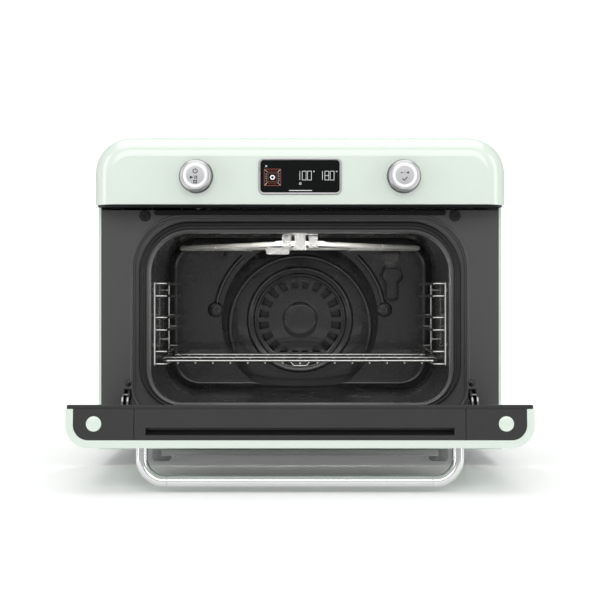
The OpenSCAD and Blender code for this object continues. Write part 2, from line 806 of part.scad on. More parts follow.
// A round control's cap: a raised rim around a slightly sunken face
module cap() difference() {
    union() {
        rod_y(control_d / 2 - cap_edge, cap_face_y, cap_back_y);
        rod_y(control_d / 2, cap_face_y + cap_edge, cap_back_y);
    }
    rod_y(control_d / 2 - 4.6, cap_face_y - cut, cap_face_y + 0.6);
}

module power_button() color("whitesmoke") in_row() translate([-control_x, 0, control_z]) {
    cap();
    rod_y(stem_r, cap_back_y, stem_back_y);
}

module button_housing() color("black") in_row() translate([-control_x, 0, control_z]) difference() {
    rod_y(stem_r + 6, panel_wall - panel_d, guide_end_y + 4);
    rod_y(guide_r, panel_wall - panel_d - cut, guide_end_y);
}

module set_knob() color("whitesmoke") in_row() translate([control_x, 0, control_z]) difference() {
    cap();
    rod_y(guide_r, cap_face_y + knob_wall, cap_back_y + cut);
}

module encoder_shaft() color("gray") in_row() translate([control_x, 0, control_z])
    rod_y(stem_r, cap_face_y + knob_wall + loose_fit, stem_back_y);

module encoder_body() color("black") in_row() translate([control_x, 0, control_z]) difference() {
    rod_y(stem_r + 6, panel_wall - panel_d, guide_end_y + 4);
    rod_y(guide_r, panel_wall - panel_d - cut, guide_end_y);
}

// ---- Hinges ----

// Fixed lugs that carry the hinge pins, each on a flange behind the frame
module hinge_brackets() color("silver") in_row() each_side() translate([hinge_x, -pivot_y, pivot_z]) {
    translate([-bracket_t / 2, 0, 0]) bar(0, bracket_t) union() {
        circle(hub_r);
        translate([0, -hub_r / 2 - 1]) square([pivot_y + frame_t + 2, hub_r + 2]);
    }
    block([-flange_w / 2, pivot_y + frame_t, -flange_h / 2], [flange_w / 2, pivot_y + frame_t + 2, flange_h / 2]);
    rod_x(pin_d / 2, arm_gap - slot_x / 2, slot_x / 2 - arm_gap);
}

// A sector of a ring about the hinge pin, from one angle to another
module tail(r0, r1, a0, a1) intersection() {
    difference() { circle(r1); circle(r0); }
    polygon([[0, 0], for (a = [a0 : (a1 - a0) / 8 : a1]) 2 * r1 * [cos(a), sin(a)]]);
}

// Twin plates on each side of the fixed lug, with a curved tail that runs through the frame
module hinge_arms() color("lightgray") on_door() each_side() translate([hinge_x, -pivot_y, pivot_z]) {
    inner = bracket_t / 2 + arm_gap;
    for (s = [-1, 1]) scale_x(s) difference() {
        bar(inner, inner + arm_t) union() {
            circle(hub_r);
            translate([-17, 0]) square([14, door_leg_h]);
            tail(arm_r - arm_w / 2, arm_r + arm_w / 2, tail_low, tail_high);
            polygon([[0, hub_r], [-17, hub_r], [-17, 0], [-9, 0], [-4, -4.4]]);
        }
        rod_x(pin_d / 2 + running_fit, inner - cut, inner + arm_t + cut);
    }
    for (a = [tail_low + 8, 88]) translate([0, arm_r * cos(a), arm_r * sin(a)])
        rod_x(1.8, -inner, inner);
}

module hinge_cassettes() color("silver") in_row() each_side() translate([hinge_x, 0, pivot_z]) difference() {
    block([-6.5, cassette_y, -10], [6.5, cassette_y + cassette_l, cassette_h - 10]);
    block([-6.5 + cassette_t, cassette_y - cut, -10 + cassette_t],
          [6.5 - cassette_t, cassette_y + cassette_l - cassette_t, cassette_h - 10 - cassette_t]);
}

coil_count = 24;
coil_pitch = 3.6;
module hinge_springs() color("gray") in_row() each_side() translate([hinge_x, cassette_y + 12, pivot_z + 6])
    rotate([-90, 0, 0]) rotate_extrude() difference() {
        square([spring_r, coil_count * coil_pitch]);
        for (i = [0 : coil_count]) translate([spring_r, i * coil_pitch]) circle(1, $fn = 24);
    }

// ---- Door, drawn shut ----

module door_shell() color("honeydew") on_door() difference() {
    translate([0, shell_back_y, door_top]) mirror([0, 0, 1]) difference() {
        bowed(body_w, door_h, shell_d, body_corner, front_edge);
        translate([0, 0, flange_t + cut])
            bowed_hollow(body_w, door_h - flange_t, shell_d, body_corner, front_edge, panel_wall);
        linear_extrude(2 * (flange_t + cut), center = true)
            plan(half_w - door_flange, door_flange - shell_d, cut, front_edge - door_flange);
    }
    slab(-panel_d - cut, shell_back_y) window_outline(0);
    hinge_notch(shell_back_y + cut);
    for (x = handle_screw_x) translate([x, 0, handle_z]) rod_y(2, -panel_d - cut, -panel_d + panel_wall + cut);
}

// Clears the fixed lug and the arms' tails while the door turns
module hinge_notch(y1) each_side()
    block([hinge_x - slot_x / 2, -pivot_y - hub_r - 3, door_bottom - cut], [hinge_x + slot_x / 2, y1, slot_high + 4]);

module window_outline(inset) plate(window_w / 2 - inset, window_z + inset, window_z + window_h - inset,
                                   window_corner - inset, window_corner - inset);

module window_trim() color("silver") on_door() slab(-panel_d - trim_proud, -panel_d) difference() {
    window_outline(-trim_rim);
    window_outline(0);
}

module outer_glass() color("darkslategray") on_door() {
    slab(-panel_d, panel_wall - panel_d) window_outline(0);
    slab(panel_wall - panel_d, panel_wall + glass_t - panel_d) window_outline(-8);
}

module inner_glass_outline(inset)
    plate(inner_glass_w / 2 - inset, door_bottom + inner_glass_rise + inset,
          door_bottom + inner_glass_rise + inner_glass_h - inset, 10 - inset, 10 - inset);

module inner_panel() color("dimgray") on_door() difference() {
    slab(shell_back_y, door_inner_y) difference() {
        plate(half_w - 0.9, door_bottom + 1.5, door_top, body_corner - 1, 2);
        inner_glass_outline(0);
    }
    hinge_notch(cut);
}

module inner_glass() color("lightcyan") on_door()
    slab(shell_back_y, shell_back_y + inner_glass_t) inner_glass_outline(0);

edge_y = door_flange - panel_d;
module top_outline(y1) plan(half_w - door_flange, edge_y, y1, front_edge - door_flange);

module top_trim() color("gray") on_door() difference() {
    block([-top_trim_x, edge_y, door_top - cap_depth], [top_trim_x, shell_back_y, door_top]);
    block([-top_slot_w / 2, -slot_back - slot_w - door_gap, door_top - cap_depth + 3],
          [top_slot_w / 2, -slot_back - door_gap, door_top + cut]);
}

module end_caps() color("dimgray") on_door() difference() {
    translate([0, 0, door_top - flange_t]) linear_extrude(flange_t) difference() {
        top_outline(shell_back_y);
        translate([-top_trim_x, edge_y - cut]) square([2 * top_trim_x, panel_d]);
    }
    each_side() translate([plug_x, -plug_back - door_gap, door_top - flange_t - cut]) cylinder(r = plug_d / 2, h = 2 * flange_t);
}

module edge_plugs() color("honeydew") on_door() each_side()
    translate([plug_x, -plug_back - door_gap, door_top - flange_t]) cylinder(r = plug_d / 2, h = flange_t + 0.6);

handle_z = door_top - handle_drop;
handle_screw_x = [-(handle_w - handle_t) / 2, (handle_w - handle_t) / 2];
// The flattened tube's section: across the bend, then along the handle's height
module handle_section() for (s = [-1, 1]) translate([0, s * (handle_h - handle_t) / 2]) circle(handle_t / 2);
module handle_profile() {
    handle_section();
    square([handle_t, handle_h - handle_t], center = true);
}

module handle() color("silver") on_door() translate([0, -panel_d, handle_z]) difference() {
    union() {
        bend_c = handle_bend - handle_t / 2;
        half = handle_w / 2 - handle_t / 2;
        translate([0, -handle_d + handle_t / 2, 0]) rotate([0, 90, 0]) rotate([0, 0, 90])
            linear_extrude(2 * (half - bend_c), center = true) handle_profile();
        each_side() {
            translate([half - bend_c, -handle_d + handle_bend, 0]) rotate([0, 0, -90])
                rotate_extrude(angle = 90) translate([bend_c, 0]) handle_profile();
            translate([half, 0, 0]) rotate([90, 0, 0]) linear_extrude(handle_d - handle_bend) handle_profile();
        }
    }
    each_side() translate([handle_screw_x[1], 0, 0]) rod_y(2, -9, cut);
}

module handle_screws() color("gray") on_door() for (x = handle_screw_x) translate([x, -panel_d, handle_z]) {
    rod_y(2, -9, panel_wall);
    rod_y(5, panel_wall, panel_wall + 3);
}

// ---- Drip tray ----

module drip_tray() color("dimgray") in_row() {
    high = tray_z + tray_h - loose_fit;
    pan = pan_w / 2;
    block([-tray_w / 2, -1.5, tray_z], [tray_w / 2, 1.5, tray_z + tray_h - loose_fit]);
    difference() {
        block([-pan, 1.5, tray_z], [pan, tray_d, high]);
        block([-pan + tray_wall, 1.5 + tray_wall, tray_z + tray_wall], [pan - tray_wall, tray_d - tray_wall, high + cut]);
    }
}

housing();
back_panel();
wall_spacers();
base_plate();
feet();
tray_guides();
lower_trim();
front_frame();
air_deflector();
vent_grille();
door_bumpers();
door_gasket();
cavity_liner();
insulation();
grill_element();
element_bracket();
fan_cover();
fan_chamber();
ring_heater();
fan_motor();
fan_shaft();
fan_wheel();
lamp_lens();
oven_lamp();
temperature_probe();
rack_left();
rack_right();
wire_shelf();
bay_deck();
blower_housing();
blower_drum();
blower_motor();
power_board();
fascia();
display_bezel();
display_window();
display_module();
control_collars();
power_button();
button_housing();
set_knob();
encoder_shaft();
encoder_body();
cord_gland();
case_screws();
hinge_brackets();
hinge_cassettes();
hinge_springs();
door_shell();
window_trim();
outer_glass();
inner_panel();
inner_glass();
top_trim();
end_caps();
edge_plugs();
handle();
handle_screws();
hinge_arms();
drip_tray();
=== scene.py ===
import json
import math

import bmesh
import bpy
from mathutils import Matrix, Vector


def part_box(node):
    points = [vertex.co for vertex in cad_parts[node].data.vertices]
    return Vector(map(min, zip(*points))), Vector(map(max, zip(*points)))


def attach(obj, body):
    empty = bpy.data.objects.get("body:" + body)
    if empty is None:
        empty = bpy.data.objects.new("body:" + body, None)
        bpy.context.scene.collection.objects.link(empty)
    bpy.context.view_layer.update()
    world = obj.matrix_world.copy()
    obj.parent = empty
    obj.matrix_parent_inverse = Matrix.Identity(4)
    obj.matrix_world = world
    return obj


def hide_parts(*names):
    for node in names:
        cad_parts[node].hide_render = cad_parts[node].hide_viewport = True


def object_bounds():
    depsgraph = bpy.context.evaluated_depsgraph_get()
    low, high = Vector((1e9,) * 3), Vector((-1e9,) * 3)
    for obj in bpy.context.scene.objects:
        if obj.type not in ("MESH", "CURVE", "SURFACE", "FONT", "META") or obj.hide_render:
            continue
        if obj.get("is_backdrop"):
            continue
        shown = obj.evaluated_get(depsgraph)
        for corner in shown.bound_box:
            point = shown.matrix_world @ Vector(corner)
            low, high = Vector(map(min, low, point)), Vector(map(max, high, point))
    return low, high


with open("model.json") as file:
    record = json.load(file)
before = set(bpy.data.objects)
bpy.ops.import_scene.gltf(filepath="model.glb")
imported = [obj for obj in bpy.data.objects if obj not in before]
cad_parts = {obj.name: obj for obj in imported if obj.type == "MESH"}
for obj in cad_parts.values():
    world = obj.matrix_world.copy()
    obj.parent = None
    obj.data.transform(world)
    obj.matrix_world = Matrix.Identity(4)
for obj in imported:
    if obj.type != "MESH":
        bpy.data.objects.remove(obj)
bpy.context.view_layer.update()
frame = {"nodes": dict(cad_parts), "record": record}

# ---- Studio ----
# A white sweep under and behind the oven, lit by a wash. A large softbox hangs overhead, a broad fill stands
# behind the camera and a strip on each side. Two small lamps in the cavity's mouth are kept out of the
# reflections. The camera looks level, from about half the oven's height.

studio = bpy.context.scene
studio.view_settings.view_transform = "Standard"
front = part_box("front_frame")[0].y

camera_distance, camera_height, horizon_shift = 1.778, 0.212, -1 / 60
lens = bpy.data.cameras.new("camera")
lens.lens, lens.sensor_width, lens.shift_y = 88.4, 36, horizon_shift
camera = bpy.data.objects.new("camera", lens)
camera.location = (0, front - camera_distance, camera_height)
camera.rotation_euler = (math.pi / 2, 0, 0)
studio.collection.objects.link(camera)
studio.camera = camera

# Each softbox has its place, the point that it faces, its size in metres and its power in watts.
softboxes = {
    "overhead": ((0, front - 0.1, 1.9), (0, front + 0.1, 0.3), (2.2, 1.8), 18.5),
    "front_fill": ((0, front - 3.1, 1.65), (0, front, 0.2), (3.0, 1.6), 29.5),
    "left_strip": ((-1.6, front - 0.8, 0.6), (0, front + 0.1, 0.25), (0.5, 1.6), 5.6),
    "right_strip": ((1.6, front - 0.8, 0.6), (0, front + 0.1, 0.25), (0.5, 1.6), 5.6),
    "cavity_up": ((0, front + 0.01, 0.10), (0, front + 0.14, 0.29), (0.26, 0.02), 0.36),
    "cavity_down": ((0, front, 0.275), (0, front + 0.16, 0.07), (0.26, 0.02), 1.5),
    "backdrop_wash": ((0, front + 1.6, 2.6), (0, front + 4, 1.2), (5, 1.5), 130),
}
for name, (place, aim, size, power) in softboxes.items():
    lamp = bpy.data.lights.new(name, "AREA")
    lamp.shape, lamp.size, lamp.size_y, lamp.energy = "RECTANGLE", *size, power
    holder = bpy.data.objects.new(name, lamp)
    holder.location = place
    holder.rotation_euler = (Vector(aim) - Vector(place)).to_track_quat("-Z", "Y").to_euler()
    holder.visible_camera = False
    holder.visible_glossy = not name.startswith("cavity")
    studio.collection.objects.link(holder)

sweep_half, sweep_front, sweep_back, sweep_top, sweep_bend, sweep_steps = 2.7, -3.4, 4.0, 5.0, 1.5, 9
sweep_line = [(sweep_front, 0.0)]
for k in range(sweep_steps + 1):
    turn = math.radians(90 * k / sweep_steps)
    sweep_line.append((sweep_back - sweep_bend * (1 - math.sin(turn)), sweep_bend * (1 - math.cos(turn))))
sweep_line.append((sweep_back, sweep_top))
sweep_points = [(s * sweep_half, y, z) for y, z in sweep_line for s in (-1, 1)]
sweep_faces = [(2 * i, 2 * i + 1, 2 * i + 3, 2 * i + 2) for i in range(len(sweep_line) - 1)]
sweep = bpy.data.meshes.new("sweep")
sweep.from_pydata(sweep_points, [], sweep_faces)
sweep.shade_smooth()
floor = bpy.data.objects.new("sweep", sweep)
studio.collection.objects.link(floor)
floor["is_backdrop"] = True


class Value:
    """A shader socket that takes part in sums: each operation on it adds its Math node."""

    def __init__(self, finish, socket):
        self.finish, self.socket = finish, socket

    def math(self, operation, *values):
        return self.finish.node("ShaderNodeMath", {"operation": operation}, dict(enumerate(values)))

    def __add__(self, other):
        return self.math("ADD", self, other)

    def __sub__(self, other):
        return self.math("SUBTRACT", self, other)

    def __rsub__(self, other):
        return self.math("SUBTRACT", other, self)

    def __mul__(self, other):
        return self.math("MULTIPLY", self, other)

    def __gt__(self, other):
        return self.math("GREATER_THAN", self, other)

    __radd__, __rmul__ = __add__, __mul__


class Finish:
    """A procedural material on the Principled shader, set by socket name with numbers, tuples or Values."""

    def __init__(self, name, **sockets):
        self.material = bpy.data.materials.new(name)
        self.material.use_nodes = True
        self.nodes = self.material.node_tree.nodes
        self.shader = self.nodes["Principled BSDF"]
        self.set(**sockets)

    def fill(self, target, value):
        if isinstance(value, Value):
            self.material.node_tree.links.new(value.socket, target)
        elif isinstance(value, tuple) and target.type == "RGBA":
            target.default_value = (*value, 1)
        else:
            target.default_value = value

    def node(self, kind, settings=None, sockets=None, output=0):
        """Adds a node with its settings and socket values, and gives one of its outputs."""
        made = self.nodes.new(kind)
        for key, value in (settings or {}).items():
            setattr(made, key, value)
        for key, value in (sockets or {}).items():
            self.fill(made.inputs[key], value)
        return Value(self, made.outputs[output])

    def set(self, **sockets):
        for key, value in sockets.items():
            self.fill(self.shader.inputs[key.replace("_", " ")], value)
        return self

    def place(self, stretch=(1, 1, 1)):
        """The place on the piece in metres, scaled along each axis, for grain and brush marks."""
        where = self.node("ShaderNodeTexCoord", output="Object")
        return self.node("ShaderNodeVectorMath", {"operation": "MULTIPLY"}, {0: where, 1: stretch})

    def noise(self, scale, detail=2.0, stretch=(1, 1, 1)):
        return self.node("ShaderNodeTexNoise", None,
                         {"Vector": self.place(stretch), "Scale": scale, "Detail": detail})

    def mix(self, mask, low, high):
        """A colour from low to high as the mask goes from 0 to 1."""
        return self.node("ShaderNodeMix", {"data_type": "RGBA"}, {0: mask, 6: low, 7: high}, output=2)

    def bump(self, height, strength=0.2, distance=0.0002):
        return self.set(Normal=self.node("ShaderNodeBump", None, {"Height": height, "Strength": strength,
                                                                "Distance": distance}))


def plain(name, low, high, roughness, scale=30, grain=500, relief=0.1, stretch=(1, 1, 1), **sockets):
    """A finish whose colour drifts between two tones, with a fine relief."""
    made = Finish(name, **sockets)
    drift = made.noise(scale, 3)
    made.set(Base_Color=made.mix(drift, low, high), Roughness=roughness + (drift - 0.5) * 0.08)
    return made.bump(made.noise(grain, 2, stretch), relief, 0.0001)


paper = plain("backdrop", (0.955, 0.955, 0.955), (0.965, 0.965, 0.965), 0.9, 1.5, 60, 0.0)
paper.set(Emission_Color=(1.0, 1.0, 1.0), Emission_Strength=0.085)
sweep.materials.append(paper.material)

air = bpy.data.worlds.new("studio_air")
air.use_nodes = True
glow = air.node_tree.nodes["Background"]
ray = air.node_tree.nodes.new("ShaderNodeLightPath")
level = air.node_tree.nodes.new("ShaderNodeMath")
seen, around = 1.0, 0.39
level.operation = "MULTIPLY_ADD"
level.inputs[1].default_value, level.inputs[2].default_value = seen - around, around
air.node_tree.links.new(ray.outputs["Is Camera Ray"], level.inputs[0])
air.node_tree.links.new(level.outputs[0], glow.inputs["Strength"])
glow.inputs["Color"].default_value = (1, 1, 1, 1)
studio.world = air

# ---- Housing and control panel ----
# The housing is one steel sheet bent over the sides and top, with a folded hem at its front edge. The
# control panel is a deep-drawn shell and a flat kick strip covers the frame's foot. All are enamelled mint.


def at(x, y, z):
    """A place in the row frame, from millimetres across, behind the front frame and above the floor."""
    return Vector((x / 1000, front + y / 1000, z / 1000))


def outline(half, low, high, r_low, r_high, steps=12):
    """Points (x, z) around an upright rectangle with its own corner radius below and above."""
    points = []
    for side, r, edge, start in ((1, r_low, low + r_low, -90), (1, r_high, high - r_high, 0),
                                 (-1, r_high, high - r_high, 90), (-1, r_low, low + r_low, 180)):
        for k in range(steps + 1):
            a = math.radians(start + 90 * k / steps)
            points.append((side * (half - r) + r * math.cos(a), edge + r * math.sin(a)))
    return points


def ring(points, y):
    """Points (x, z) set at one depth."""
    return [(x, y, z) for x, z in points]


def skin(rings, start=True, end=True, loop=False):
    """Corners and faces of the surface through a row of rings that have equal numbers of points."""
    count = len(rings[0])
    verts = [p for r in rings for p in r]
    faces = []
    for i in range(len(rings) if loop else len(rings) - 1):
        a, b = i * count, (i + 1) % len(rings) * count
        faces += [(a + j, a + (j + 1) % count, b + (j + 1) % count, b + j) for j in range(count)]
    if start and not loop:
        faces.append(tuple(reversed(range(count))))
    if end and not loop:
        faces.append(tuple(range((len(rings) - 1) * count, len(rings) * count)))
    return verts, faces


def joined(*shapes):
    """Several sets of corners and faces as one."""
    verts, faces = [], []
    for more_verts, more_faces in shapes:
        faces += [tuple(i + len(verts) for i in f) for f in more_faces]
        verts += more_verts
    return verts, faces


def solid(name, shape, place):
    """A mesh from corners and faces, welded and facing outwards."""
    mesh = bpy.data.meshes.new(name)
    mesh.from_pydata([place(*v) for v in shape[0]], [], shape[1])
    draft = bmesh.new()
    draft.from_mesh(mesh)
    bmesh.ops.remove_doubles(draft, verts=draft.verts, dist=1e-6)
    bmesh.ops.recalc_face_normals(draft, faces=draft.faces)
    draft.to_mesh(mesh)
    draft.free()
    return mesh


def piece(name, shape, body, finish, stands_for=(), crease=32, place=at, cuts=()):
    """A smooth-shaded mesh, less its cuts, that rides on a body and stands for CAD nodes."""
    made = bpy.data.objects.new(name, solid(name, shape, place))
    studio.collection.objects.link(made)
    for cut in cuts:
        tool = bpy.data.objects.new("tool", solid("tool", cut, place))
        studio.collection.objects.link(tool)
        less = made.modifiers.new("less", "BOOLEAN")
        less.object, less.operation, less.solver = tool, "DIFFERENCE", "EXACT"
        worked = made.evaluated_get(bpy.context.evaluated_depsgraph_get())
        made.data = bpy.data.meshes.new_from_object(worked)
        made.modifiers.clear()
        bpy.data.objects.remove(tool)
    made.data.name = name
    made.data.materials.clear()
    made.data.materials.append(finish.material)
    made.data.shade_smooth()
    made.data.set_sharp_from_angle(angle=math.radians(crease))
    made.modifiers.new("weighted_normals", "WEIGHTED_NORMAL").keep_sharp = True
    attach(made, body)
    if stands_for:
        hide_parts(*stands_for)
    return made


def rounded_edge(radius, steps=10):
    """Inset and setback at each step round a quarter-round edge, from the face to the side."""
    turns = [math.radians(90 * k / steps) for k in range(steps + 1)]
    return [(radius * (1 - math.sin(t)), radius * (1 - math.cos(t))) for t in turns]


def box_shape(low, high):
    (x0, y0, z0), (x1, y1, z1) = low, high
    return skin([[(x0, y, z0), (x1, y, z0), (x1, y, z1), (x0, y, z1)] for y in (y0, y1)])


mint = Finish("mint_enamel", Coat_Weight=1.0, Coat_Roughness=0.06, Coat_IOR=1.5)
mint.set(Base_Color=mint.mix(mint.noise(6, 3), (0.755, 0.848, 0.766), (0.765, 0.856, 0.776)),
         Roughness=0.24 + mint.noise(90, 2) * 0.04)
mint.bump(mint.noise(380, 2), 0.04, 0.0001)

side, base, top, corner = 243.5, 20, 394, 44
sheet, hem, hem_depth, housing_back = 1.6, 3.7, 9, 410
sheet_r = 0.4


def arch(inset, steps=16):
    """The housing's section from the lower right, over the top and down to the lower left."""
    half, high, r = side - inset, top - inset, corner - inset
    bend = [math.radians(90 * k / steps) for k in range(steps + 1)]
    right = [(half - r + r * math.cos(a), high - r + r * math.sin(a)) for a in bend]
    return [(half, base)] + right + [(-x, z) for x, z in reversed(right)] + [(-half, base)]


wrap = [ring(arch(inset) + arch(inner)[::-1], y) for y, inset, inner in (
    (0.2, 0.5, hem - 0.3), (0.5, 0.1, hem), (1.2, 0, hem), (hem_depth, 0, hem), (hem_depth + 0.4, 0, sheet),
    (housing_back - 2, 0, sheet), (housing_back - 0.6, 0.3, sheet), (housing_back, 0.9, sheet))]
piece("housing_wrap", skin(wrap), "body", mint, ["housing"])

face_edge, stand_out, panel_low = 24, 47, 312
flat = outline(side - face_edge - 1, panel_low + 1.2, top - face_edge - 1, sheet_r, corner - face_edge)
shell = [ring(flat, -stand_out)]
for inset, setback in rounded_edge(face_edge):
    low = panel_low + inset / face_edge
    shell.append(ring(outline(side - inset, low, top - inset, sheet_r, corner - inset), setback - stand_out))
shell += [ring(outline(side, panel_low, top, sheet_r, corner), -0.6),
          ring(outline(side - 0.5, panel_low + 0.5, top - 0.5, sheet_r, corner - 0.5), 0)]
piece("control_panel", skin(shell), "body", mint, ["fascia"])

kick_high, kick_r, kick_edge = 57, 0.6, ((0.7, -1.6), (0, -1.0), (0, 0))
kick = [ring(outline(side - i, base + i, kick_high - i, kick_r, kick_r), y) for i, y in kick_edge]
piece("kick_strip", skin(kick), "body", mint, ["lower_trim"])

# ---- Front frame ----
# A pressed steel sheet in dark satin enamel. A bead runs round the recess, which steps in to the rolled
# flange of the oven's mouth. Two slots near the foot let the hinge arms through, below two domed screws.

slate = Finish("slate_enamel", Coat_Weight=0.12, Coat_Roughness=0.3)
slate.set(Base_Color=slate.mix(slate.noise(12, 4), (0.057, 0.0565, 0.057), (0.066, 0.065, 0.066)),
          Roughness=0.40 + slate.noise(200, 3) * 0.08)
slate.bump(slate.noise(600, 3), 0.12, 0.0001)

frame_side, frame_low, frame_high, frame_r = 239.7, 21.5, 308.5, 0.5
rim_side, rim_low, rim_high, rim_r_low, rim_r_high = 202, 62, 301, 32, 64
mouth_side, mouth_low, mouth_high, mouth_r_low, mouth_r_high = 181, 75, 281, 38.4, 48
foot_even, foot_share, curve = 2, 0.42, 16
hinge_x, slot_half, slot_low, slot_high = 208, 4.8, 59, 92.5


def rim(inset, y):
    """The edge of the recess around the mouth, moved in."""
    low_r, high_r = rim_r_low - inset, rim_r_high - inset
    return ring(outline(rim_side - inset, rim_low + inset, rim_high - inset, low_r, high_r, curve), y)


def mouth(out, y):
    """The edge of the mouth, moved out, but less so along its foot where the recess is narrow."""
    down = min(out, foot_even + (out - foot_even) * foot_share)
    low_r, high_r = mouth_r_low + out, mouth_r_high + out
    return ring(outline(mouth_side + out, mouth_low - down, mouth_high + out, low_r, high_r, curve), y)


def sheet_edge(inset, y):
    low, high = frame_low + inset, frame_high - inset
    return ring(outline(frame_side - inset, low, high, frame_r, frame_r, curve), y)


press = [sheet_edge(0, 1.5), sheet_edge(0, 0.5), sheet_edge(0.5, 0),
         rim(-3.4, 0), rim(-2.8, -0.35), rim(-2.0, -0.7), rim(-1.0, -0.75), rim(-0.2, -0.45), rim(0.6, 0.3),
         rim(1.2, 1.6), rim(1.5, 3.4), rim(2.2, 4.4), rim(3.2, 4.7), mouth(16, 5.2),
         mouth(6.4, 5.2), mouth(5.6, 4.6), mouth(5.0, 3.0), mouth(4.2, 2.0), mouth(3.0, 1.5), mouth(1.6, 1.7),
         mouth(0.6, 2.6), mouth(0.1, 4.2), mouth(0, 6.5), mouth(0, 14),
         mouth(1.3, 14), mouth(1.5, 6.5), rim(4.2, 6.6), rim(3.0, 6.2), rim(2.4, 1.5)]
slots = [box_shape((s * hinge_x - slot_half, -3, slot_low), (s * hinge_x + slot_half, 9, slot_high))
         for s in (-1, 1)]
piece("front_press", skin(press, loop=True), "body", slate, ["front_frame"],
      cuts=[joined(*slots)])


def turned(profile, x=0, z=0, sides=64):
    """A shape turned about an axis that runs from front to back, from (radius, y) pairs."""
    rings = []
    for r, y in profile:
        rings.append([(x + r * math.cos(math.tau * k / sides), y, z + r * math.sin(math.tau * k / sides))
                      for k in range(sides)])
    return skin(rings, profile[0][0] > 0, profile[-1][0] > 0)


stud_x, stud_z = 207, 100
dome = [(0, -2.6), (1.6, -2.5), (3.0, -1.9), (4.0, -0.9), (4.3, 0), (4.3, 0.8)]
stud_black = plain("screw_black", (0.012, 0.012, 0.012), (0.018, 0.018, 0.018), 0.22, 80, 700, 0.04)
studs = [turned(dome, x, stud_z, 32) for x in (-stud_x, stud_x)]
piece("frame_studs", joined(*studs), "body", stud_black)

# ---- Air outlet ----
# Cooling air leaves under the control panel, through a moulded black grille with short fins. A dark strip
# with round ends, screwed to the frame, throws the warm air forwards over the door.

soot = plain("black_moulding", (0.007, 0.007, 0.008), (0.012, 0.012, 0.013), 0.52, 40, 900, 0.2,
             Specular_IOR_Level=0.18)


def rounded_plan(half, y0, y1, r, z, steps):
    """A level outline at a height, with round corners in front and a straight edge behind."""
    bend = [math.radians(90 * k / steps) for k in range(steps + 1)]
    left_arc = [(-half + r - r * math.cos(a), y0 + r - r * math.sin(a), z) for a in bend]
    return [(-half, y1, z)] + left_arc + [(-x, y, z) for x, y, z in reversed(left_arc)] + [(half, y1, z)]


grille_half, grille_front, grille_r = 241, -44.5, 21.5
grille = [skin([rounded_plan(grille_half, grille_front, 0, grille_r, z, 10) for z in (311.0, 312.05)])]
fin_pitch, fins_beside, fin_high = 35.6, 6, 312.4
fin_section = ((-2.5, 0.6, 309.4), (-2.0, 1.0, 308.8), (0, 1.0, 308.8))
for i in range(-fins_beside, fins_beside + 1):
    x = fin_pitch * i
    grille.append(skin([[(x - w, y, low), (x + w, y, low), (x + w, y, fin_high), (x - w, y, fin_high)]
                        for y, w, low in fin_section]))
piece("air_grille", joined(*grille), "body", soot, ["vent_grille"])


def plaque(half, low, high, r, y0, y1, edge):
    """A flat plate with round corners and softened front edges, from y0 in front back to y1."""
    rings = [ring(outline(half - i, low + i, high - i, r - i, r - i), y0 + setback)
             for i, setback in rounded_edge(edge, 4)]
    return skin(rings + [ring(outline(half, low, high, r, r), y1)])


strip_half, strip_low, strip_high, strip_r = 176, 302, 308.3, 3.1
air_strip = plaque(strip_half, strip_low, strip_high, strip_r, -1.4, 0.1, 0.8)
piece("air_strip", air_strip, "body", soot, ["air_deflector"])

# ---- Door seal and bumpers ----
# A black silicone bead lies in the recess around the mouth, clipped into its foot. Two rubber buttons in
# the top corners of the frame take the knock of the closing door.

silicone = plain("black_silicone", (0.012, 0.012, 0.013), (0.018, 0.018, 0.019), 0.6, 60, 700, 0.15,
                 Specular_IOR_Level=0.3)
seal_r, seal_out, seal_y = 3.0, 10.6, 2.6
seal = [mouth(seal_out + seal_r * math.cos(math.tau * k / 12), seal_y + seal_r * math.sin(math.tau * k / 12))
        for k in range(12)]
piece("door_seal", skin(seal, loop=True), "body", silicone, ["door_gasket"])

button_x, button_z = 187, 301.5
button = [(1.7, -0.8), (2.1, -1.5), (5.3, -1.65), (6.0, -1.35), (6.2, -0.7), (6.9, -0.5), (7.1, 0.2)]
buttons = [turned(button, x, button_z, 40) for x in (-button_x, button_x)]
piece("door_buttons", joined(*buttons), "body", silicone, ["door_bumpers"])

# ---- Cavity liner ----
# A box of sheet steel with round corners, in black vitreous enamel with a faint fleck. A bead is pressed
# into its walls near the back, and shallow arcs and a keyhole-shaped boss stiffen the rear wall.

glaze = Finish("black_glaze", Coat_Weight=0.5, Coat_Roughness=0.06)
fleck = glaze.noise(1100, 1) > 0.70
glaze.set(Base_Color=glaze.mix(fleck, (0.009, 0.0088, 0.0088), (0.045, 0.045, 0.047)),
          Roughness=0.20 + glaze.noise(25, 3) * 0.12)
glaze.bump(glaze.noise(18, 3), 0.12, 0.0012)

cavity_side, cavity_low, cavity_high, cavity_r, rear_wall = 186, 70, 287, 44, 330


def wall(inset, y):
    """The cavity's section, moved in."""
    r = cavity_r - inset
    return ring(outline(cavity_side - inset, cavity_low + inset, cavity_high - inset, r, r, curve), y)


def tube(path, section, up=(0, 0, 1), closed=False, widths=None):
    """A section carried along a path. Its second axis stays along up, which is square to the path's plane."""
    points, up, rings = [Vector(p) for p in path], Vector(up), []
    for i, p in enumerate(points):
        before = points[i] - points[i - 1] if i or closed else points[1] - points[0]
        after = points[(i + 1) % len(points)] - p if i + 1 < len(points) or closed else before
        along = (before.normalized() + after.normalized()).normalized()
        across = along.cross(up).normalized() / max(0.4, along.dot(after.normalized()))
        grow = widths[i] if widths else 1
        rings.append([tuple(p + grow * (a * across + b * up)) for a, b in section])
    return skin(rings, loop=closed)


def wire(r, sides=12):
    """A round section."""
    return [(r * math.cos(math.tau * k / sides), r * math.sin(math.tau * k / sides)) for k in range(sides)]


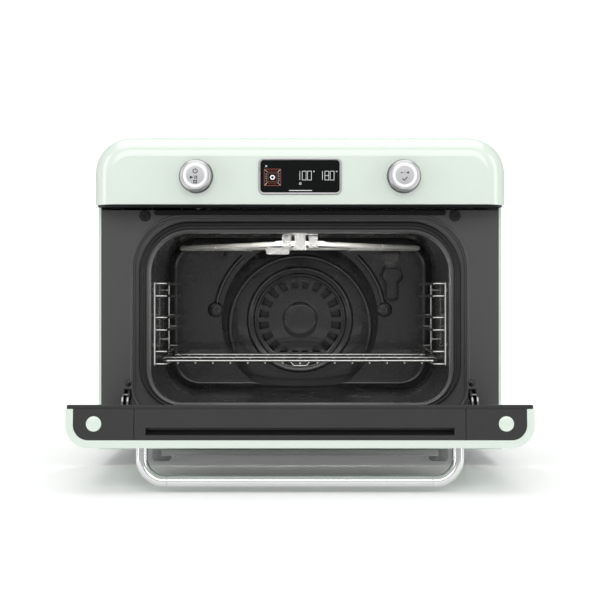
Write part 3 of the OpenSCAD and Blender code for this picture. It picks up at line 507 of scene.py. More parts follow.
def ribbon(width, depth):
    """A flat section."""
    w, d = width / 2, depth / 2
    return [(-w, -d), (w, -d), (w, d), (-w, d)]


def bent(points, radius, closed=False, steps=7):
    """A path through points, with its corners rounded."""
    points = [Vector(p) for p in points]
    path = [] if closed else [points[0]]
    for i in range(0 if closed else 1, len(points) if closed else len(points) - 1):
        here, back, ahead = points[i], points[i - 1], points[(i + 1) % len(points)]
        way_in, way_out = (here - back).normalized(), (ahead - here).normalized()
        angle = way_in.angle(way_out)
        reach = radius * math.tan(angle / 2)
        centre = here + (way_out - way_in).normalized() * radius / math.cos(angle / 2)
        first, last = here - way_in * reach - centre, here + way_out * reach - centre
        for k in range(steps + 1):
            f = k / steps
            spoke = first * math.sin((1 - f) * angle) + last * math.sin(f * angle)
            path.append(centre + spoke / math.sin(angle))
    return path if closed else path + [points[-1]]


hub_z, hole_r = 170, 88


def hole(r, y):
    """A circle about the fan's axis, with a point for each point of the cavity's section."""
    angles = [math.atan2(z - hub_z, x) for x, _, z in wall(11, 0)]
    return [(r * math.cos(a), y, hub_z + r * math.sin(a)) for a in angles]


wall_bead = [wall(0, 268), wall(0.5, 270), wall(1.8, 273), wall(2.2, 275.5), wall(1.8, 278), wall(0.5, 281),
              wall(0, 283)]
rear_bend = [wall(0, 314), wall(0.8, 319.5), wall(3.0, 324.4), wall(6.4, 328.2), wall(11, rear_wall)]
tub = [mouth(1.5, 13.9), wall(2.4, 16), wall(0.8, 17.8), wall(0, 21), *wall_bead, *rear_bend,
       hole(hole_r, rear_wall), hole(hole_r, rear_wall + 1.4), wall(9, rear_wall + 1.5), wall(-1.4, 320),
       wall(-1.4, 15), mouth(2.6, 12.6)]
emboss = [(-3.6, 0.3), (-3.0, -0.4), (-1.8, -1.0), (0, -1.25), (1.8, -1.0), (3.0, -0.4), (3.6, 0.3)]
arc_r, arc_angles = 122, [math.radians(a) for a in range(8, 52, 4)]
arcs = []
for s in (-1, 1):
    arc_path = [(s * arc_r * math.cos(a), rear_wall, hub_z + arc_r * math.sin(a)) for a in arc_angles]
    arcs.append(tube(arc_path, emboss, (0, 1, 0)))
key_path = [(122, rear_wall, 198), (139, rear_wall, 198), (139, rear_wall, 222), (146, rear_wall, 230),
            (141, rear_wall, 244), (120, rear_wall, 244), (115, rear_wall, 230), (122, rear_wall, 222)]
arcs.append(tube(bent(key_path, 4, True), [(a * 0.6, b) for a, b in emboss], (0, 1, 0), closed=True))
piece("oven_tub", joined(skin(tub, loop=True), *arcs), "body", glaze, ["cavity_liner"], 36)

# ---- Fan cover ----
# The dished cover over the convection fan, pressed from the same enamelled steel. Air is drawn in through
# a ring of slots round its hub, and a screw goes through the boss at each side.

slot_in, slot_out, slot_count, cover_face, above_floor = 45, 59, 20, 323.2, 0.4


def disc(r, y, sides=160):
    """A circle about the fan's axis, kept above the cavity's floor."""
    turns = [math.tau * k / sides for k in range(sides)]
    return [(r * math.cos(a), y, max(cavity_low + above_floor, hub_z + r * math.sin(a))) for a in turns]


hub_line = [(5, 321.4), (19, 321.4), (22, 321.6), (24.5, 322.6), (27, cover_face), (slot_in - 1, cover_face),
            (slot_in, 323.5), (slot_in, 325)]
beads = [(61.5, 322.9), (62.5, 322.2), (64, 322.0), (65, 322.3), (66, 323.4), (67, 323.6), (68.5, 322.9),
         (72, 321.9), (74, 322.0), (75.2, 322.9)]
slope = [(76, 324.6), (84, 325.0), (95, 326.4), (104, 328.0), (112, 329.9)]
dish_line = [(slot_out, 325), (slot_out, 323.5), (slot_out + 1, cover_face)] + beads + slope
hub = skin([disc(r, y) for r, y in hub_line], True, False)
dish = skin([disc(r, y) for r, y in dish_line], False, False)


def on_slope(r):
    """How far back the cover's outer slope is at a radius."""
    for (r0, y0), (r1, y1) in zip(slope, slope[1:]):
        if r <= r1:
            return y0 + (y1 - y0) * (r - r0) / (r1 - r0)
    return slope[-1][1]


bead_r, bead_z, bead_angles = 100, 160, [math.radians(d) for d in range(-20, 201, 4)]
bead_line = [(bead_r * math.cos(a), bead_z + bead_r * math.sin(a)) for a in bead_angles]
bead = tube([(x, on_slope(math.hypot(x, z - hub_z)), z) for x, z in bead_line], emboss, (0, 1, 0))
half_bar, bar_lap = math.radians(3.4), 0.4
bar_section = ((-1, cover_face + 0.1), (1, cover_face + 0.1), (1, 324.8), (-1, 324.8))
bars = []
for i in range(slot_count):
    a = math.tau * i / slot_count
    bars.append(skin([[(r * math.cos(a + s * half_bar), y, hub_z + r * math.sin(a + s * half_bar))
                       for s, y in bar_section] for r in (slot_in - bar_lap, slot_out + bar_lap)]))
boss_x, boss_z = 121, 184
boss = [(0.4, 325.4), (1.0, 325.0), (4.2, 324.6), (5.4, 325.0), (5.6, 326.2), (8.6, 326.4), (10.2, 327.2),
        (11, 329.9)]
bosses = [turned(boss, x, boss_z, 40) for x in (-boss_x, boss_x)]
fan_guard = joined(hub, dish, bead, *bars, *bosses)
piece("fan_guard", fan_guard, "body", glaze, ["fan_cover"], 40)

# ---- Grill element ----
# A sheathed heating tube of bright nickel steel, bent into one loop under the ceiling. Its ends go out
# through the rear wall, and a bracket of bright steel hangs its front run from the ceiling.

heater = plain("heater_sheath", (0.66, 0.64, 0.60), (0.76, 0.74, 0.70), 0.26, 60, 900, 0.1, Metallic=0.4)
element_z, element_r, support_r = 270, 3.25, 2
half_loop = [(70, 340, element_z), (70, 296, element_z), (164, 296, element_z), (164, 266, element_z),
             (30, 84, element_z), (30, 60, element_z)]
loop = half_loop + [(-x, y, z) for x, y, z in reversed(half_loop)]
support = tube([(-70, 296, element_z), (70, 296, element_z)], wire(support_r))
grill_tube = joined(tube(bent(loop, 11), wire(element_r, 16)), support)
piece("grill_tube", grill_tube, "body", heater, ["grill_element"])

bright = plain("bright_steel", (0.36, 0.355, 0.34), (0.42, 0.415, 0.40), 0.2, 60, 900, 0.05, Metallic=0.9)
bracket_y, plate_deep = 60, 7.6
saddle = [(-8, 0), (-8, 13), (-7.2, 14.6), (-5.4, 15.4), (5.4, 15.4), (7.2, 14.6), (8, 13), (8, 0),
          (6.8, 0), (6.8, 12.6), (6, 14), (-6, 14), (-6.8, 12.6), (-6.8, 0)]
hangs = [skin([[(s * x, bracket_y + a, 265 + b) for a, b in saddle] for x in (11, 22)]) for s in (-1, 1)]
tongue = [(-8, 0), (-7.6, -1.4), (7.6, -1.4), (8, 0), (6.8, 7), (6.8, 20.6), (-6.8, 20.6), (-6.8, 7)]
hangs.append(skin([[(a, bracket_y + y, 263 + b) for a, b in tongue] for y in (-6.6, 6.6)]))
for half, heights in ((21.6, (280.2, 281.6)), (9, (281.6, 287))):
    plate = [(-half, -plate_deep), (half, -plate_deep), (half, plate_deep), (-half, plate_deep)]
    hangs.append(skin([[(x, bracket_y + a, z) for x, a in plate] for z in heights]))
tab = [(-44, 265), (-42, 258), (-40.6, 256.6), (-15, 256.6), (-13.6, 258), (-12, 265)]
hangs.append(skin([ring(tab, y) for y in (66.2, 68)]))
piece("grill_bracket", joined(*hangs), "body", bright, ["element_bracket"])

# ---- Side racks ----
# Chromed steel wire. On each side, two uprights hang on pins in the cavity wall and carry three pairs of
# rails, bent like staples and welded on, between which a shelf's edge runs.

chrome_wire = plain("wire_chrome", (0.64, 0.64, 0.62), (0.74, 0.74, 0.72), 0.16, 80, 900, 0.05, Metallic=1.0)
rack_x, rail_x, rack_ends, rail_low, rail_gap, guide_pitch = 180, 164, (40, 243), 120.5, 15.5, 42
rack_top = rail_low + 2 * guide_pitch + rail_gap
upright_line = ((118.8, 1.2), (119.3, 2.0), (rack_top + 1.2, 2.0), (rack_top + 1.7, 1.2))
pin = turned([(3.2, 0), (4.0, 0.4), (4.0, 2.2), (2.8, 2.8), (2.8, 5.9)], sides=20)
for name, s in (("left", -1), ("right", 1)):
    wires = []
    for guide in range(3):
        for up in (0, rail_gap):
            z = rail_low + guide * guide_pitch + up
            staple = [(s * rack_x, rack_ends[0], z), (s * rail_x, rack_ends[0], z),
                      (s * rail_x, rack_ends[1], z), (s * rack_x, rack_ends[1], z)]
            wires.append(tube(bent(staple, 5), wire(1.7)))
    for y in rack_ends:
        wires.append(skin([[(s * rack_x + a, y + b, z) for a, b in wire(w)] for z, w in upright_line]))
        for z in (rail_low + 24, rack_top - 8):
            wires.append(([(s * (rack_x + h), y + a, z + b) for a, h, b in pin[0]], pin[1]))
    piece("rack_wires_" + name, joined(*wires), "body", chrome_wire, ["rack_" + name])

# ---- Wire shelf ----
# A chromed grid: a heavy outer wire bent into a rectangle, one cross wire, and thin wires welded under
# them from front to back. A small stop loop hangs from the middle of its front.

shelf_x, shelf_front, shelf_back, shelf_z, heavy_r = 175.6, 48, 225, 124.3, 1.8
rod_z, rod_r, rod_pitch, rods_beside = 121.4, 1.3, 21.6, 7
corners = [(shelf_x, shelf_front, shelf_z), (shelf_x, shelf_back, shelf_z),
           (-shelf_x, shelf_back, shelf_z), (-shelf_x, shelf_front, shelf_z)]
middle_y = (shelf_front + shelf_back) / 2
grid = [tube(bent(corners, 12, True), wire(heavy_r), closed=True),
        tube([(-shelf_x, middle_y, shelf_z), (shelf_x, middle_y, shelf_z)], wire(heavy_r))]
rod_stations = (shelf_front - 1.2, shelf_front - 0.6, shelf_back + 0.6, shelf_back + 1.2)
for i in range(-rods_beside, rods_beside + 1):
    rod = [(i * rod_pitch, y, rod_z) for y in rod_stations]
    grid.append(tube(rod, wire(rod_r), widths=(0.6, 1, 1, 0.6)))
stop = [(-12, shelf_front, shelf_z - 1.4), (-8, shelf_front, shelf_z - 6), (8, shelf_front, shelf_z - 6),
        (12, shelf_front, shelf_z - 1.4)]
grid.append(tube(bent(stop, 3), wire(1.1), up=(0, 1, 0)))
piece("shelf_grid", joined(*grid), "shelf", chrome_wire, ["wire_shelf"])

# ---- Display ----
# A dark glass window in a satin aluminium bezel. Behind the glass, white segments show the times and
# temperatures, a bar shows the progress, and a framed oven picture has dim red heat marks.

bezel = plain("satin_aluminium", (0.46, 0.46, 0.47), (0.50, 0.50, 0.51), 0.28, 20, 900, 0.06, (1, 1, 40),
              Metallic=1.0)
control_z, panel_y = 345.6, -47
display_half, display_up, display_r = 49.2, 21.7, 7


def display(inset, y):
    """The bezel's outline, moved in."""
    up, r = display_up - inset, display_r - inset
    return ring(outline(display_half - inset, control_z - up, control_z + up, r, r), y)


edge = [display(inset, y) for inset, y in ((0, panel_y + 0.1), (0, -47.6), (0.3, -48.0), (0.8, -48.2),
                                           (1.8, -48.2), (2.3, -48.0), (2.6, -47.6), (2.6, panel_y + 0.1))]
piece("display_ring", skin(edge, loop=True), "body", bezel, ["display_bezel"])

smoke = Finish("smoked_glass", Specular_IOR_Level=0.07)
smoke.set(Base_Color=smoke.mix(smoke.noise(20, 2), (0.004, 0.006, 0.0055), (0.006, 0.008, 0.0075)),
          Roughness=0.25)
smoked_pane = [display(3.4, -47.5), display(2.9, -47.3), display(2.6, -46.9), display(2.6, -44.5)]
piece("display_glass", skin(smoked_pane), "body", smoke, ["display_window"])

lit = Finish("lit_white", Base_Color=(0.5, 0.5, 0.5), Emission_Strength=0.6)
lit.set(Emission_Color=lit.mix(lit.noise(200, 1), (0.92, 0.93, 0.94), (1.0, 1.0, 1.0)), Roughness=0.5)
embers = Finish("lit_red", Base_Color=(0.2, 0.03, 0.02), Emission_Strength=0.5)
embers.set(Emission_Color=embers.mix(embers.noise(200, 1), (0.42, 0.10, 0.08), (0.55, 0.14, 0.11)),
           Roughness=0.5)
mark_y, mark_depth, segment = -47.56, 0.12, 0.42


def stroke(points, width=segment, closed=False):
    """A thin flat line on the display, through points (x, z)."""
    return tube(ring(points, mark_y), ribbon(width, mark_depth), (0, 1, 0), closed)


def circle(x, z, r, sides):
    """Points round a circle."""
    return [(x + a, z + b) for a, b in wire(r, sides)]


digit_h, digit_w, digit_step = 10.4, 4.6, 6.2
strokes_of = {"0": [((0, 0), (1, 0), (1, 1), (0, 1))], "1": [((1, 0), (1, 1))],
              "8": [((0, 0), (1, 0), (1, 1), (0, 1)), ((0, 0.5), (1, 0.5))]}
marks = []
for text, left, low in (("100", -2.2, 341.2), ("180", 24.4, 341.2)):
    for i, digit in enumerate(text):
        x = left + i * digit_step - (1.4 if i else 2.6)
        for line in strokes_of[digit]:
            points = [(x + u * digit_w, low + v * digit_h) for u, v in line]
            marks.append(stroke(points, closed=len(points) == 4))
    marks.append(stroke(circle(left + 3 * digit_step, low + digit_h - 0.4, 0.6, 12), 0.3, True))
marks.append(stroke([(-12.9, 328.9), (14.1, 328.9)], 0.7))
clock_x, clock_z = 0.4, 337
marks.append(stroke(circle(clock_x, clock_z, 1.2, 16), 0.35, True))
marks.append(stroke([(clock_x, clock_z), (clock_x, clock_z + 0.8)], 0.3))
mid_x, mid_z, picture_half, heat_half = -32.3, 344.3, 9.7, 5.3
tick_in, tick_out = heat_half + 0.6, picture_half - 0.6
dash_at, half_dash, dash_places = 7.5, 0.7, (-4, -1.3, 1.3, 4)
marks.append(stroke(circle(mid_x, mid_z, 2.4, 6), 1.2, True))
for s in (-1, 1):
    for up in (-1, 1):
        marks.append(stroke([(mid_x + s * tick_in, mid_z + up * tick_in),
                             (mid_x + s * tick_out, mid_z + up * tick_out)], 0.3))
    for up in dash_places:
        x, z = mid_x + s * dash_at, mid_z + up
        marks.append(stroke([(x, z - half_dash), (x, z + half_dash)], 0.35))
marks.append(stroke([(-41, 358.6), (-38.4, 356.4)], 0.35))
marks.append(stroke([(-41, 356.4), (-38.4, 358.6)], 0.35))
piece("display_marks", joined(*marks), "body", lit)

rays = [stroke([(mid_x - half, mid_z - half), (mid_x + half, mid_z - half), (mid_x + half, mid_z + half),
                (mid_x - half, mid_z + half)], closed=True) for half in (picture_half, heat_half)]
for s in (-1, 1):
    for across in dash_places:
        x, z = mid_x + across, mid_z + s * dash_at
        rays.append(stroke([(x - half_dash, z), (x + half_dash, z)]))
piece("display_heat_marks", joined(*rays), "body", embers)

# ---- Round controls ----
# The power button on the left and the set knob on the right are alike: a turned cap in satin pearl metal
# with a gloss white raised ring, which has a faint painted glow, and a dished face, standing in a polished
# collar. Their symbols are printed.

pearl = Finish("satin_pearl", Metallic=0.85)
pearl.set(Base_Color=pearl.mix(pearl.noise(60, 2), (0.57, 0.57, 0.58), (0.61, 0.61, 0.62)),
          Roughness=0.30 + pearl.noise(300, 2) * 0.08)
pearl.bump(pearl.noise(700, 2), 0.06, 0.0001)
# The ring's faint white emission is a painted glow: the ring is no lamp.
white_with_painted_glow = plain("white_with_painted_glow", (0.90, 0.90, 0.91), (0.93, 0.93, 0.94), 0.16, 40, 500, 0.03,
                    Coat_Weight=0.4, Emission_Color=(1.0, 1.0, 1.0), Emission_Strength=0.1)
polished = plain("polished_steel", (0.34, 0.34, 0.35), (0.40, 0.40, 0.41), 0.14, 30, 900, 0.04, Metallic=1.0)
ink = plain("dark_ink", (0.010, 0.010, 0.011), (0.016, 0.016, 0.017), 0.5, 80, 900, 0.02)

control_x, cap_r, cap_face, cap_back, stem_r, stem_back = 122, 18.4, -65, -52.6, 5, -30.6
collar = [(6.1, panel_y), (6.1, -49.6), (17.6, -49.6), (18.6, -49.9), (19.6, -49.9), (20.1, -49.4),
          (20.2, -48.6), (20.2, panel_y)]
collars = [turned(collar, x, control_z, 96) for x in (-control_x, control_x)]
piece("collars", joined(*collars), "body", polished, ["control_collars"])
cap = [(0, cap_face + 0.75), (10.6, cap_face + 0.75), (11.0, cap_face + 0.9), (14.3, cap_face + 0.9),
       (14.8, cap_face + 0.95), (15.8, cap_face + 1.15), (16.9, cap_face + 1.7), (17.8, cap_face + 2.6),
       (18.3, cap_face + 3.8), (cap_r, cap_face + 5), (cap_r, cap_back - 0.7), (17.7, cap_back),
       (stem_r, cap_back), (stem_r, stem_back), (0, stem_back)]
halo = [(10.7, cap_face + 0.95), (10.9, cap_face + 0.3), (11.5, cap_face + 0.02), (13.3, cap_face + 0.02),
        (14.0, cap_face + 0.3), (14.4, cap_face + 0.95)]
print_y = cap_face + 0.7


def printed(points, width=1.05, closed=False):
    """A printed line on a control's face, through points (x, z)."""
    return tube(ring(points, print_y), ribbon(width, 0.1), (0, 1, 0), closed)


def arc(x, z, r, start, end, steps=14):
    """Points round an arc, with angles in degrees."""
    return [(x + r * math.cos(math.radians(start + (end - start) * k / steps)),
             z + r * math.sin(math.radians(start + (end - start) * k / steps))) for k in range(steps + 1)]


def triangle(x, z, r):
    """A solid triangle that points right."""
    points = [(x - r, z - r), (x + r, z), (x - r, z + r)]
    return skin([ring(points, y) for y in (print_y - 0.05, print_y + 0.05)])


left, right = -control_x, control_x
power_print = [printed(arc(left, 350.6, 2.5, 125, 415)), printed([(left, 350.8), (left, 354.2)]),
               triangle(left - 4.2, 343.2, 2.0), printed([(left - 0.2, 341.2), (left - 0.2, 345.2)]),
               printed([(left + 1.8, 341.2), (left + 1.8, 345.2)]),
               printed([(left - 1.6, 336.6), (left + 1.6, 336.6), (left + 1.6, 339.4), (left - 1.6, 339.4)],
                       closed=True)]
set_print = [printed([(right - 5.0, 348.6), (right - 2.4, 348.6)]),
             printed([(right, 347.4), (right, 350)], 0.5),
             printed([(right + 2.2, 348.6), (right + 5.2, 348.6)]),
             printed([(right + 3.7, 347.1), (right + 3.7, 350.1)]),
             printed([(right - 3, 341.6), (right - 0.8, 339.6), (right + 3.2, 343.6)], 1.0)]
bore_r, bore_end = 5.1, cap_face + 5
bored_cap = cap[:-3] + [(bore_r, cap_back), (bore_r, bore_end), (0, bore_end)]
for name, x, shape, prints, body, node in (
        ("power", left, cap, power_print, "power_button", "power_button"),
        ("set", right, bored_cap, set_print, "knob", "set_knob")):
    piece(name + "_cap", turned(shape, x, control_z, 96), body, pearl, [node])
    piece(name + "_halo", turned(halo, x, control_z, 96), body, white_with_painted_glow)
    piece(name + "_symbols", joined(*prints), body, ink)

# ---- Door shell ----
# The drop-down door hangs open on two pins near the floor. Its outer shell is deep-drawn steel with round
# edges, in the mint enamel, and folds over its free edge in a narrow flange around the end trim.

hinge_y, hinge_z, open_angle = -8, 66, math.radians(85)


def opened(x, y, z):
    """A place on the door as it hangs open, from where it is on the shut door."""
    reach, rise = y - hinge_y, z - hinge_z
    return at(x, hinge_y + reach * math.cos(open_angle) - rise * math.sin(open_angle),
              hinge_z + reach * math.sin(open_angle) + rise * math.cos(open_angle))


door_low, door_high, door_back, wall_in, flange_in, inside_high = 61, 309, -6.6, 2.5, 8, 306


def door_ring(inset, y, high=door_high):
    """The shell's outline on the shut door, moved in."""
    return ring(outline(side - inset, door_low + inset, high, corner - inset, sheet_r, curve), y)


bowl = [door_ring(face_edge + 1, -stand_out)]
bowl += [door_ring(inset, setback - stand_out) for inset, setback in rounded_edge(face_edge)]
bowl += [door_ring(0, door_back - 0.6), door_ring(0.5, door_back),
         door_ring(wall_in - 0.4, door_back, inside_high), door_ring(wall_in, door_back - 0.5, inside_high)]
bowl += [door_ring(wall_in + inset, setback + wall_in - stand_out, inside_high)
         for inset, setback in reversed(rounded_edge(face_edge - wall_in))]
lip_cut = skin([rounded_plan(side - flange_in, -39, 0, 16, z, 12) for z in (300, 312)])
window = (165, 99, 235, 14)


def window_ring(out, y):
    """The window's outline on the shut door, moved out."""
    half, low, high, r = window
    return ring(outline(half + out, low - out, high + out, r + out, r + out), y)


window_cut = skin([window_ring(0, y) for y in (-50, -40)])
notches = [box_shape((s * hinge_x - slot_half, -17, 56), (s * hinge_x + slot_half, 0, 103)) for s in (-1, 1)]
piece("door_bowl", skin(bowl), "door", mint, ["door_shell"], place=opened,
      cuts=[lip_cut, window_cut, joined(*notches)])

# ---- Door glass and inner panel ----
# A tinted pane, framed by a polished ring, sits in the shell's window. Behind it, the inner panel is
# pressed steel in black enamel, with a bead around its clear pane and another near its edge.

tinted = Finish("tinted_glass", Roughness=0.03, Transmission_Weight=0.92, IOR=1.5)
tinted.set(Base_Color=tinted.mix(tinted.noise(3, 1), (0.075, 0.08, 0.08), (0.09, 0.095, 0.095)))
pane = [window_ring(out, y)
        for out, y in ((-0.8, -46.9), (-0.1, -46.3), (-0.1, -44.5), (8, -44.4), (8, -40.5))]
piece("outer_pane", skin(pane), "door", tinted, ["outer_glass"], place=opened)
trim_line = ((0, -46.6), (0.1, -47.3), (0.6, -47.75), (2.5, -47.8), (4.3, -47.7), (4.9, -47.3), (5, -46.95),
             (5, -46.6))
trim = [window_ring(out, y) for out, y in trim_line]
piece("pane_ring", skin(trim, loop=True), "door", polished, ["window_trim"], place=opened)

inner_clear = Finish("inner_glass", Roughness=0.02, Transmission_Weight=0.95, IOR=1.5)
inner_clear.set(Base_Color=inner_clear.mix(inner_clear.noise(3, 1), (0.30, 0.31, 0.31), (0.33, 0.34, 0.34)))
inner = [ring(outline(170 - i, 97 + i, 273 - i, 10 - i, 10 - i), y)
         for i, y in ((0.1, -6.5), (0.1, -3.9), (0.7, -3.3))]
piece("inner_pane", skin(inner), "door", inner_clear, ["inner_glass"], place=opened)


def panel(inset, y):
    """The inner panel's outline, moved in."""
    return ring(outline(242.6 - inset, 62.5 + inset, 308.9 - inset, 43 - inset, 4, curve), y)


def glass_edge(out, y):
    """The clear pane's outline, moved out."""
    return ring(outline(170 + out, 97 - out, 273 + out, 10 + out, 10 + out, curve), y)


panel_line = ((0, -6.6), (0, -3.2), (0.3, -2.5), (1.2, -2.1), (11, -2.1), (12, -2.4), (13.4, -3.2),
              (15, -3.6), (17, -3.6), (18.6, -3.2), (20, -2.4), (21, -2.1))
glass_line = ((9.5, -2.1), (8.5, -2.0), (5, -2.0), (2.5, -2.2), (1.2, -2.9), (0.6, -3.9), (0.5, -6.6))
lining = [panel(inset, y) for inset, y in panel_line] + [glass_edge(out, y) for out, y in glass_line]
black_enamel = plain("black_enamel", (0.010, 0.010, 0.010), (0.014, 0.014, 0.014), 0.34, 14, 600, 0.1)
piece("door_lining", skin(lining, loop=True), "door", black_enamel, ["inner_panel"],
      place=opened, cuts=[joined(*notches)])

# ---- Door end trim ----
# The free edge is closed by moulded trim in dark grey: a long middle length with the air slot, and an end
# cap on each side with a round mint plug over its screw.

graphite = plain("graphite_moulding", (0.018, 0.018, 0.019), (0.023, 0.023, 0.0245), 0.42, 20, 700, 0.2)
seam_x, trim_front, trim_back = 172, -38.8, -6.7
rounding = ((0, 0), (0, 2.4), (0.15, 2.8), (0.6, 3.0))


def end_section(inset, z):
    """One end cap's outline, moved in, at a height on the shut door."""
    x0, x1, y0, y1, r = seam_x + 0.25 + inset, 235.3 - inset, trim_front + inset, trim_back - inset, 16
    bend = [math.radians(90 * k / 12) for k in range(13)]
    round_corner = [(x1 - r + r * math.sin(a), y0 + r - r * math.cos(a), z) for a in bend]
    return [(x0, y1, z), (x0, y0, z)] + round_corner + [(x1, y1, z)]


plug_x, plug_y, plug_r = 214, -22, 8
right_cap = skin([end_section(i, 306 + h) for i, h in rounding])
left_cap = ([(-x, y, z) for x, y, z in right_cap[0]], right_cap[1])


def upright(profile, x, y, sides=40):
    """A shape turned about an axis that runs up, from (radius, height) pairs."""
    verts, faces = turned(profile, sides=sides)
    return [(x + a, y + b, h) for a, h, b in verts], faces


holes = [upright([(plug_r + 0.5, 300), (plug_r + 0.5, 315)], s * plug_x, plug_y) for s in (-1, 1)]
piece("lip_end_caps", joined(left_cap, right_cap), "door", graphite, ["end_caps"],
      place=opened, cuts=[joined(*holes)])
middle = skin([[(-seam_x + i, trim_front + i, z), (seam_x - i, trim_front + i, z),
                (seam_x - i, trim_back - i, z), (-seam_x + i, trim_back - i, z)]
               for i, z in ((0, 295), (0, 308.4), (0.15, 308.8), (0.6, 309))])
slot_end, slot_section = 160, ((-26, 312), (-26, 298.5), (-28.4, 298.5), (-33.6, 307.6), (-34.2, 312))
air_slot = skin([[(x, y, z) for y, z in slot_section] for x in (-slot_end, slot_end)])
piece("lip_middle_trim", middle, "door", graphite, ["top_trim"],
      place=opened, cuts=[air_slot])
plug = [(plug_r, 303), (plug_r, 308.7), (plug_r - 0.3, 309.1), (plug_r - 1.2, 309.4), (4, 309.55), (0, 309.6)]
plugs = [upright(plug, x, plug_y, 64) for x in (-plug_x, plug_x)]
piece("lip_plugs", joined(*plugs), "door", mint, ["edge_plugs"], place=opened)

# ---- Handle ----
# A flattened steel tube, polished and bent back to the door at each end. Its bar is joined to the two
# bent legs with a fine seam, and a screw from inside the door holds each leg.

handle_z, handle_x, bar_y, bend_r = 284, 166, -82, 24
tube_deep, tube_high, seam_at = 12, 18, 139
straight = (tube_high - tube_deep) / 2
oval_turns = [math.tau * (k + 0.5) / 40 for k in range(40)]
oval = [(tube_deep / 2 * math.cos(a), tube_deep / 2 * math.sin(a) + math.copysign(straight, math.sin(a)))
        for a in oval_turns]
spine = bent([(-handle_x, panel_y, handle_z), (-handle_x, bar_y, handle_z), (handle_x, bar_y, handle_z),
              (handle_x, panel_y, handle_z)], bend_r, steps=16)
middle_of = len(spine) // 2
seam = [Vector((x + d, bar_y, handle_z)) for x in (-seam_at, seam_at) for d in (-0.7, -0.4, 0.4, 0.7)]
spine = spine[:middle_of] + seam + spine[middle_of:]
widths = [1.0] * middle_of + [1.0, 0.93, 0.93, 1.0] * 2 + [1.0] * (len(spine) - middle_of - len(seam))
handle_steel = plain("handle_steel", (0.78, 0.78, 0.79), (0.82, 0.82, 0.83), 0.2, 20, 900, 0.04, (60, 1, 1),
                     Metallic=1.0)
piece("handle_tube", tube(spine, oval, widths=widths), "door", handle_steel, ["handle"],
      place=opened)

# ---- Drip tray ----
# A shallow pressed tray under the body that slides out to the front. It is enamelled a mid grey, with a
# rolled front edge that serves as its grip.

tray_low, tray_high, tray_half, pan_half, tray_back = 11.8, 19.5, 167, 154, 190


def tray_ring(inset, z, r=5):
    """The pan's outline seen from above, moved in."""
    r = max(1, r - inset)
    points = outline(pan_half - inset, 1.5 + inset, tray_back - inset, r, r, 6)
    return [(x, y, z) for x, y in points]


tray_grey = plain("grey_enamel", (0.56, 0.56, 0.56), (0.60, 0.60, 0.60), 0.35, 30, 600, 0.1, Coat_Weight=0.2)
pan = [tray_ring(3.4, tray_low), tray_ring(1.6, tray_low + 0.5), tray_ring(0.8, tray_low + 2.2),
       tray_ring(0.1, tray_high - 0.5), tray_ring(0.3, tray_high), tray_ring(1.0, tray_high),
       tray_ring(1.3, tray_high - 0.5), tray_ring(2.0, tray_low + 2.9), tray_ring(3.0, tray_low + 1.6),
       tray_ring(4.6, tray_low + 1.2)]
grip = [[(x, y, z) for y, z in ((-1.0, tray_low), (1.2, tray_low), (1.5, tray_low + 0.4), (1.5, tray_high),
                                (-0.9, tray_high), (-1.5, tray_high - 0.6), (-1.5, tray_low + 0.6))]
        for x in (-tray_half, tray_half)]
piece("tray_pan", joined(skin(pan), skin(grip)), "tray", tray_grey, ["drip_tray"])

# ---- Feet ----
# Four moulded feet screwed to the base plate, each ending in a soft grey pad with a bevelled rim.

foot = [(9.4, 0), (10.3, 0.2), (10.6, 0.8), (10.6, 2.0), (11.5, 2.2), (12.0, 2.8), (12.0, 17.6), (11.8, 19.9)]
spots = [(s * 172, y) for s in (-1, 1) for y in (55, 370)]
foot_rubber = plain("grey_rubber", (0.42, 0.42, 0.42), (0.46, 0.46, 0.46), 0.7, 60, 700, 0.2)
foot_pads = joined(*[upright(foot, x, y, 48) for x, y in spots])
piece("foot_pads", foot_pads, "body", foot_rubber, ["feet"])

# ---- Pieces kept from the CAD ----
# The hinges, the back and base sheets, the fans, the lamp and the electronics are shown as the CAD has
# them. Each takes the finish of its material: zinc-coated sheet, plated or cast metal, moulding or wool.

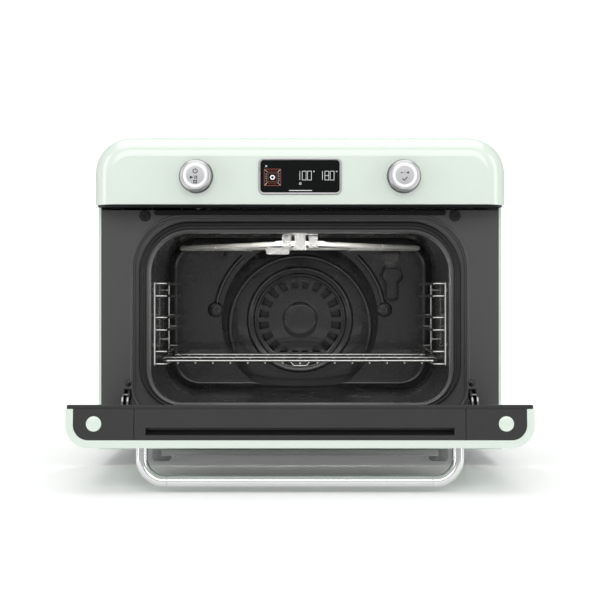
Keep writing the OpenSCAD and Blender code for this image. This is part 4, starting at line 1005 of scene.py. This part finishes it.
zinc = Finish("zinc_sheet", Metallic=0.9)
spangle = zinc.node("ShaderNodeTexVoronoi", None, {"Vector": zinc.place(), "Scale": 70.0}, output="Color")
shade = zinc.node("ShaderNodeSeparateColor", None, {0: spangle})
zinc.set(Base_Color=zinc.mix(shade, (0.50, 0.51, 0.52), (0.60, 0.61, 0.62)), Roughness=0.36 + shade * 0.12)
zinc.bump(zinc.noise(300, 3), 0.05, 0.0001)
plated = plain("plated_steel", (0.60, 0.60, 0.60), (0.68, 0.68, 0.68), 0.25, 40, 900, 0.06, Metallic=1.0)
cast = plain("cast_grey", (0.16, 0.16, 0.165), (0.20, 0.20, 0.205), 0.5, 80, 400, 0.3, Metallic=0.4)
bulb = Finish("clear_glass", Base_Color=(0.25, 0.25, 0.24), Roughness=0.04, Transmission_Weight=0.9, IOR=1.5)
bulb.bump(bulb.noise(120, 2), 0.1, 0.0003)
kept = {
    "mint_paint": mint, "galvanised": zinc, "dark_enamel": slate, "cavity_enamel": glaze,
    "dark_plastic": soot, "rubber_black": silicone, "chrome_wire": chrome_wire,
    "heater_steel": heater, "polished_steel": polished, "bezel_silver": bezel, "knob_steel": pearl,
    "display_black": smoke, "tinted_glass": tinted, "clear_glass": bulb, "bright_steel": plated,
    "motor_grey": cast,
    "board_green": plain("board_green", (0.02, 0.14, 0.06), (0.03, 0.18, 0.08), 0.4, 60, 500, 0.1),
    "lamp_ceramic": plain("lamp_ceramic", (0.74, 0.72, 0.66), (0.80, 0.78, 0.72), 0.6, 60, 500, 0.1),
    "wool": plain("mineral_wool", (0.50, 0.44, 0.26), (0.66, 0.58, 0.36), 0.95, 90, 350, 0.9),
}
slot_of = {part["node"]: part["material_slot"] for part in frame["record"]["subparts"]}
scorched = plain("scorched_steel", (0.06, 0.056, 0.052), (0.09, 0.085, 0.08), 0.42, 60, 900, 0.1,
                 Metallic=0.8)
own = {"fan_wheel": glaze, "fan_shaft": glaze, "fan_chamber": glaze, "temperature_probe": scorched}
for name, node in frame["nodes"].items():
    node.data.materials.clear()
    node.data.materials.append(own.get(name, kept[slot_of[name]]).material)

low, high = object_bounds()
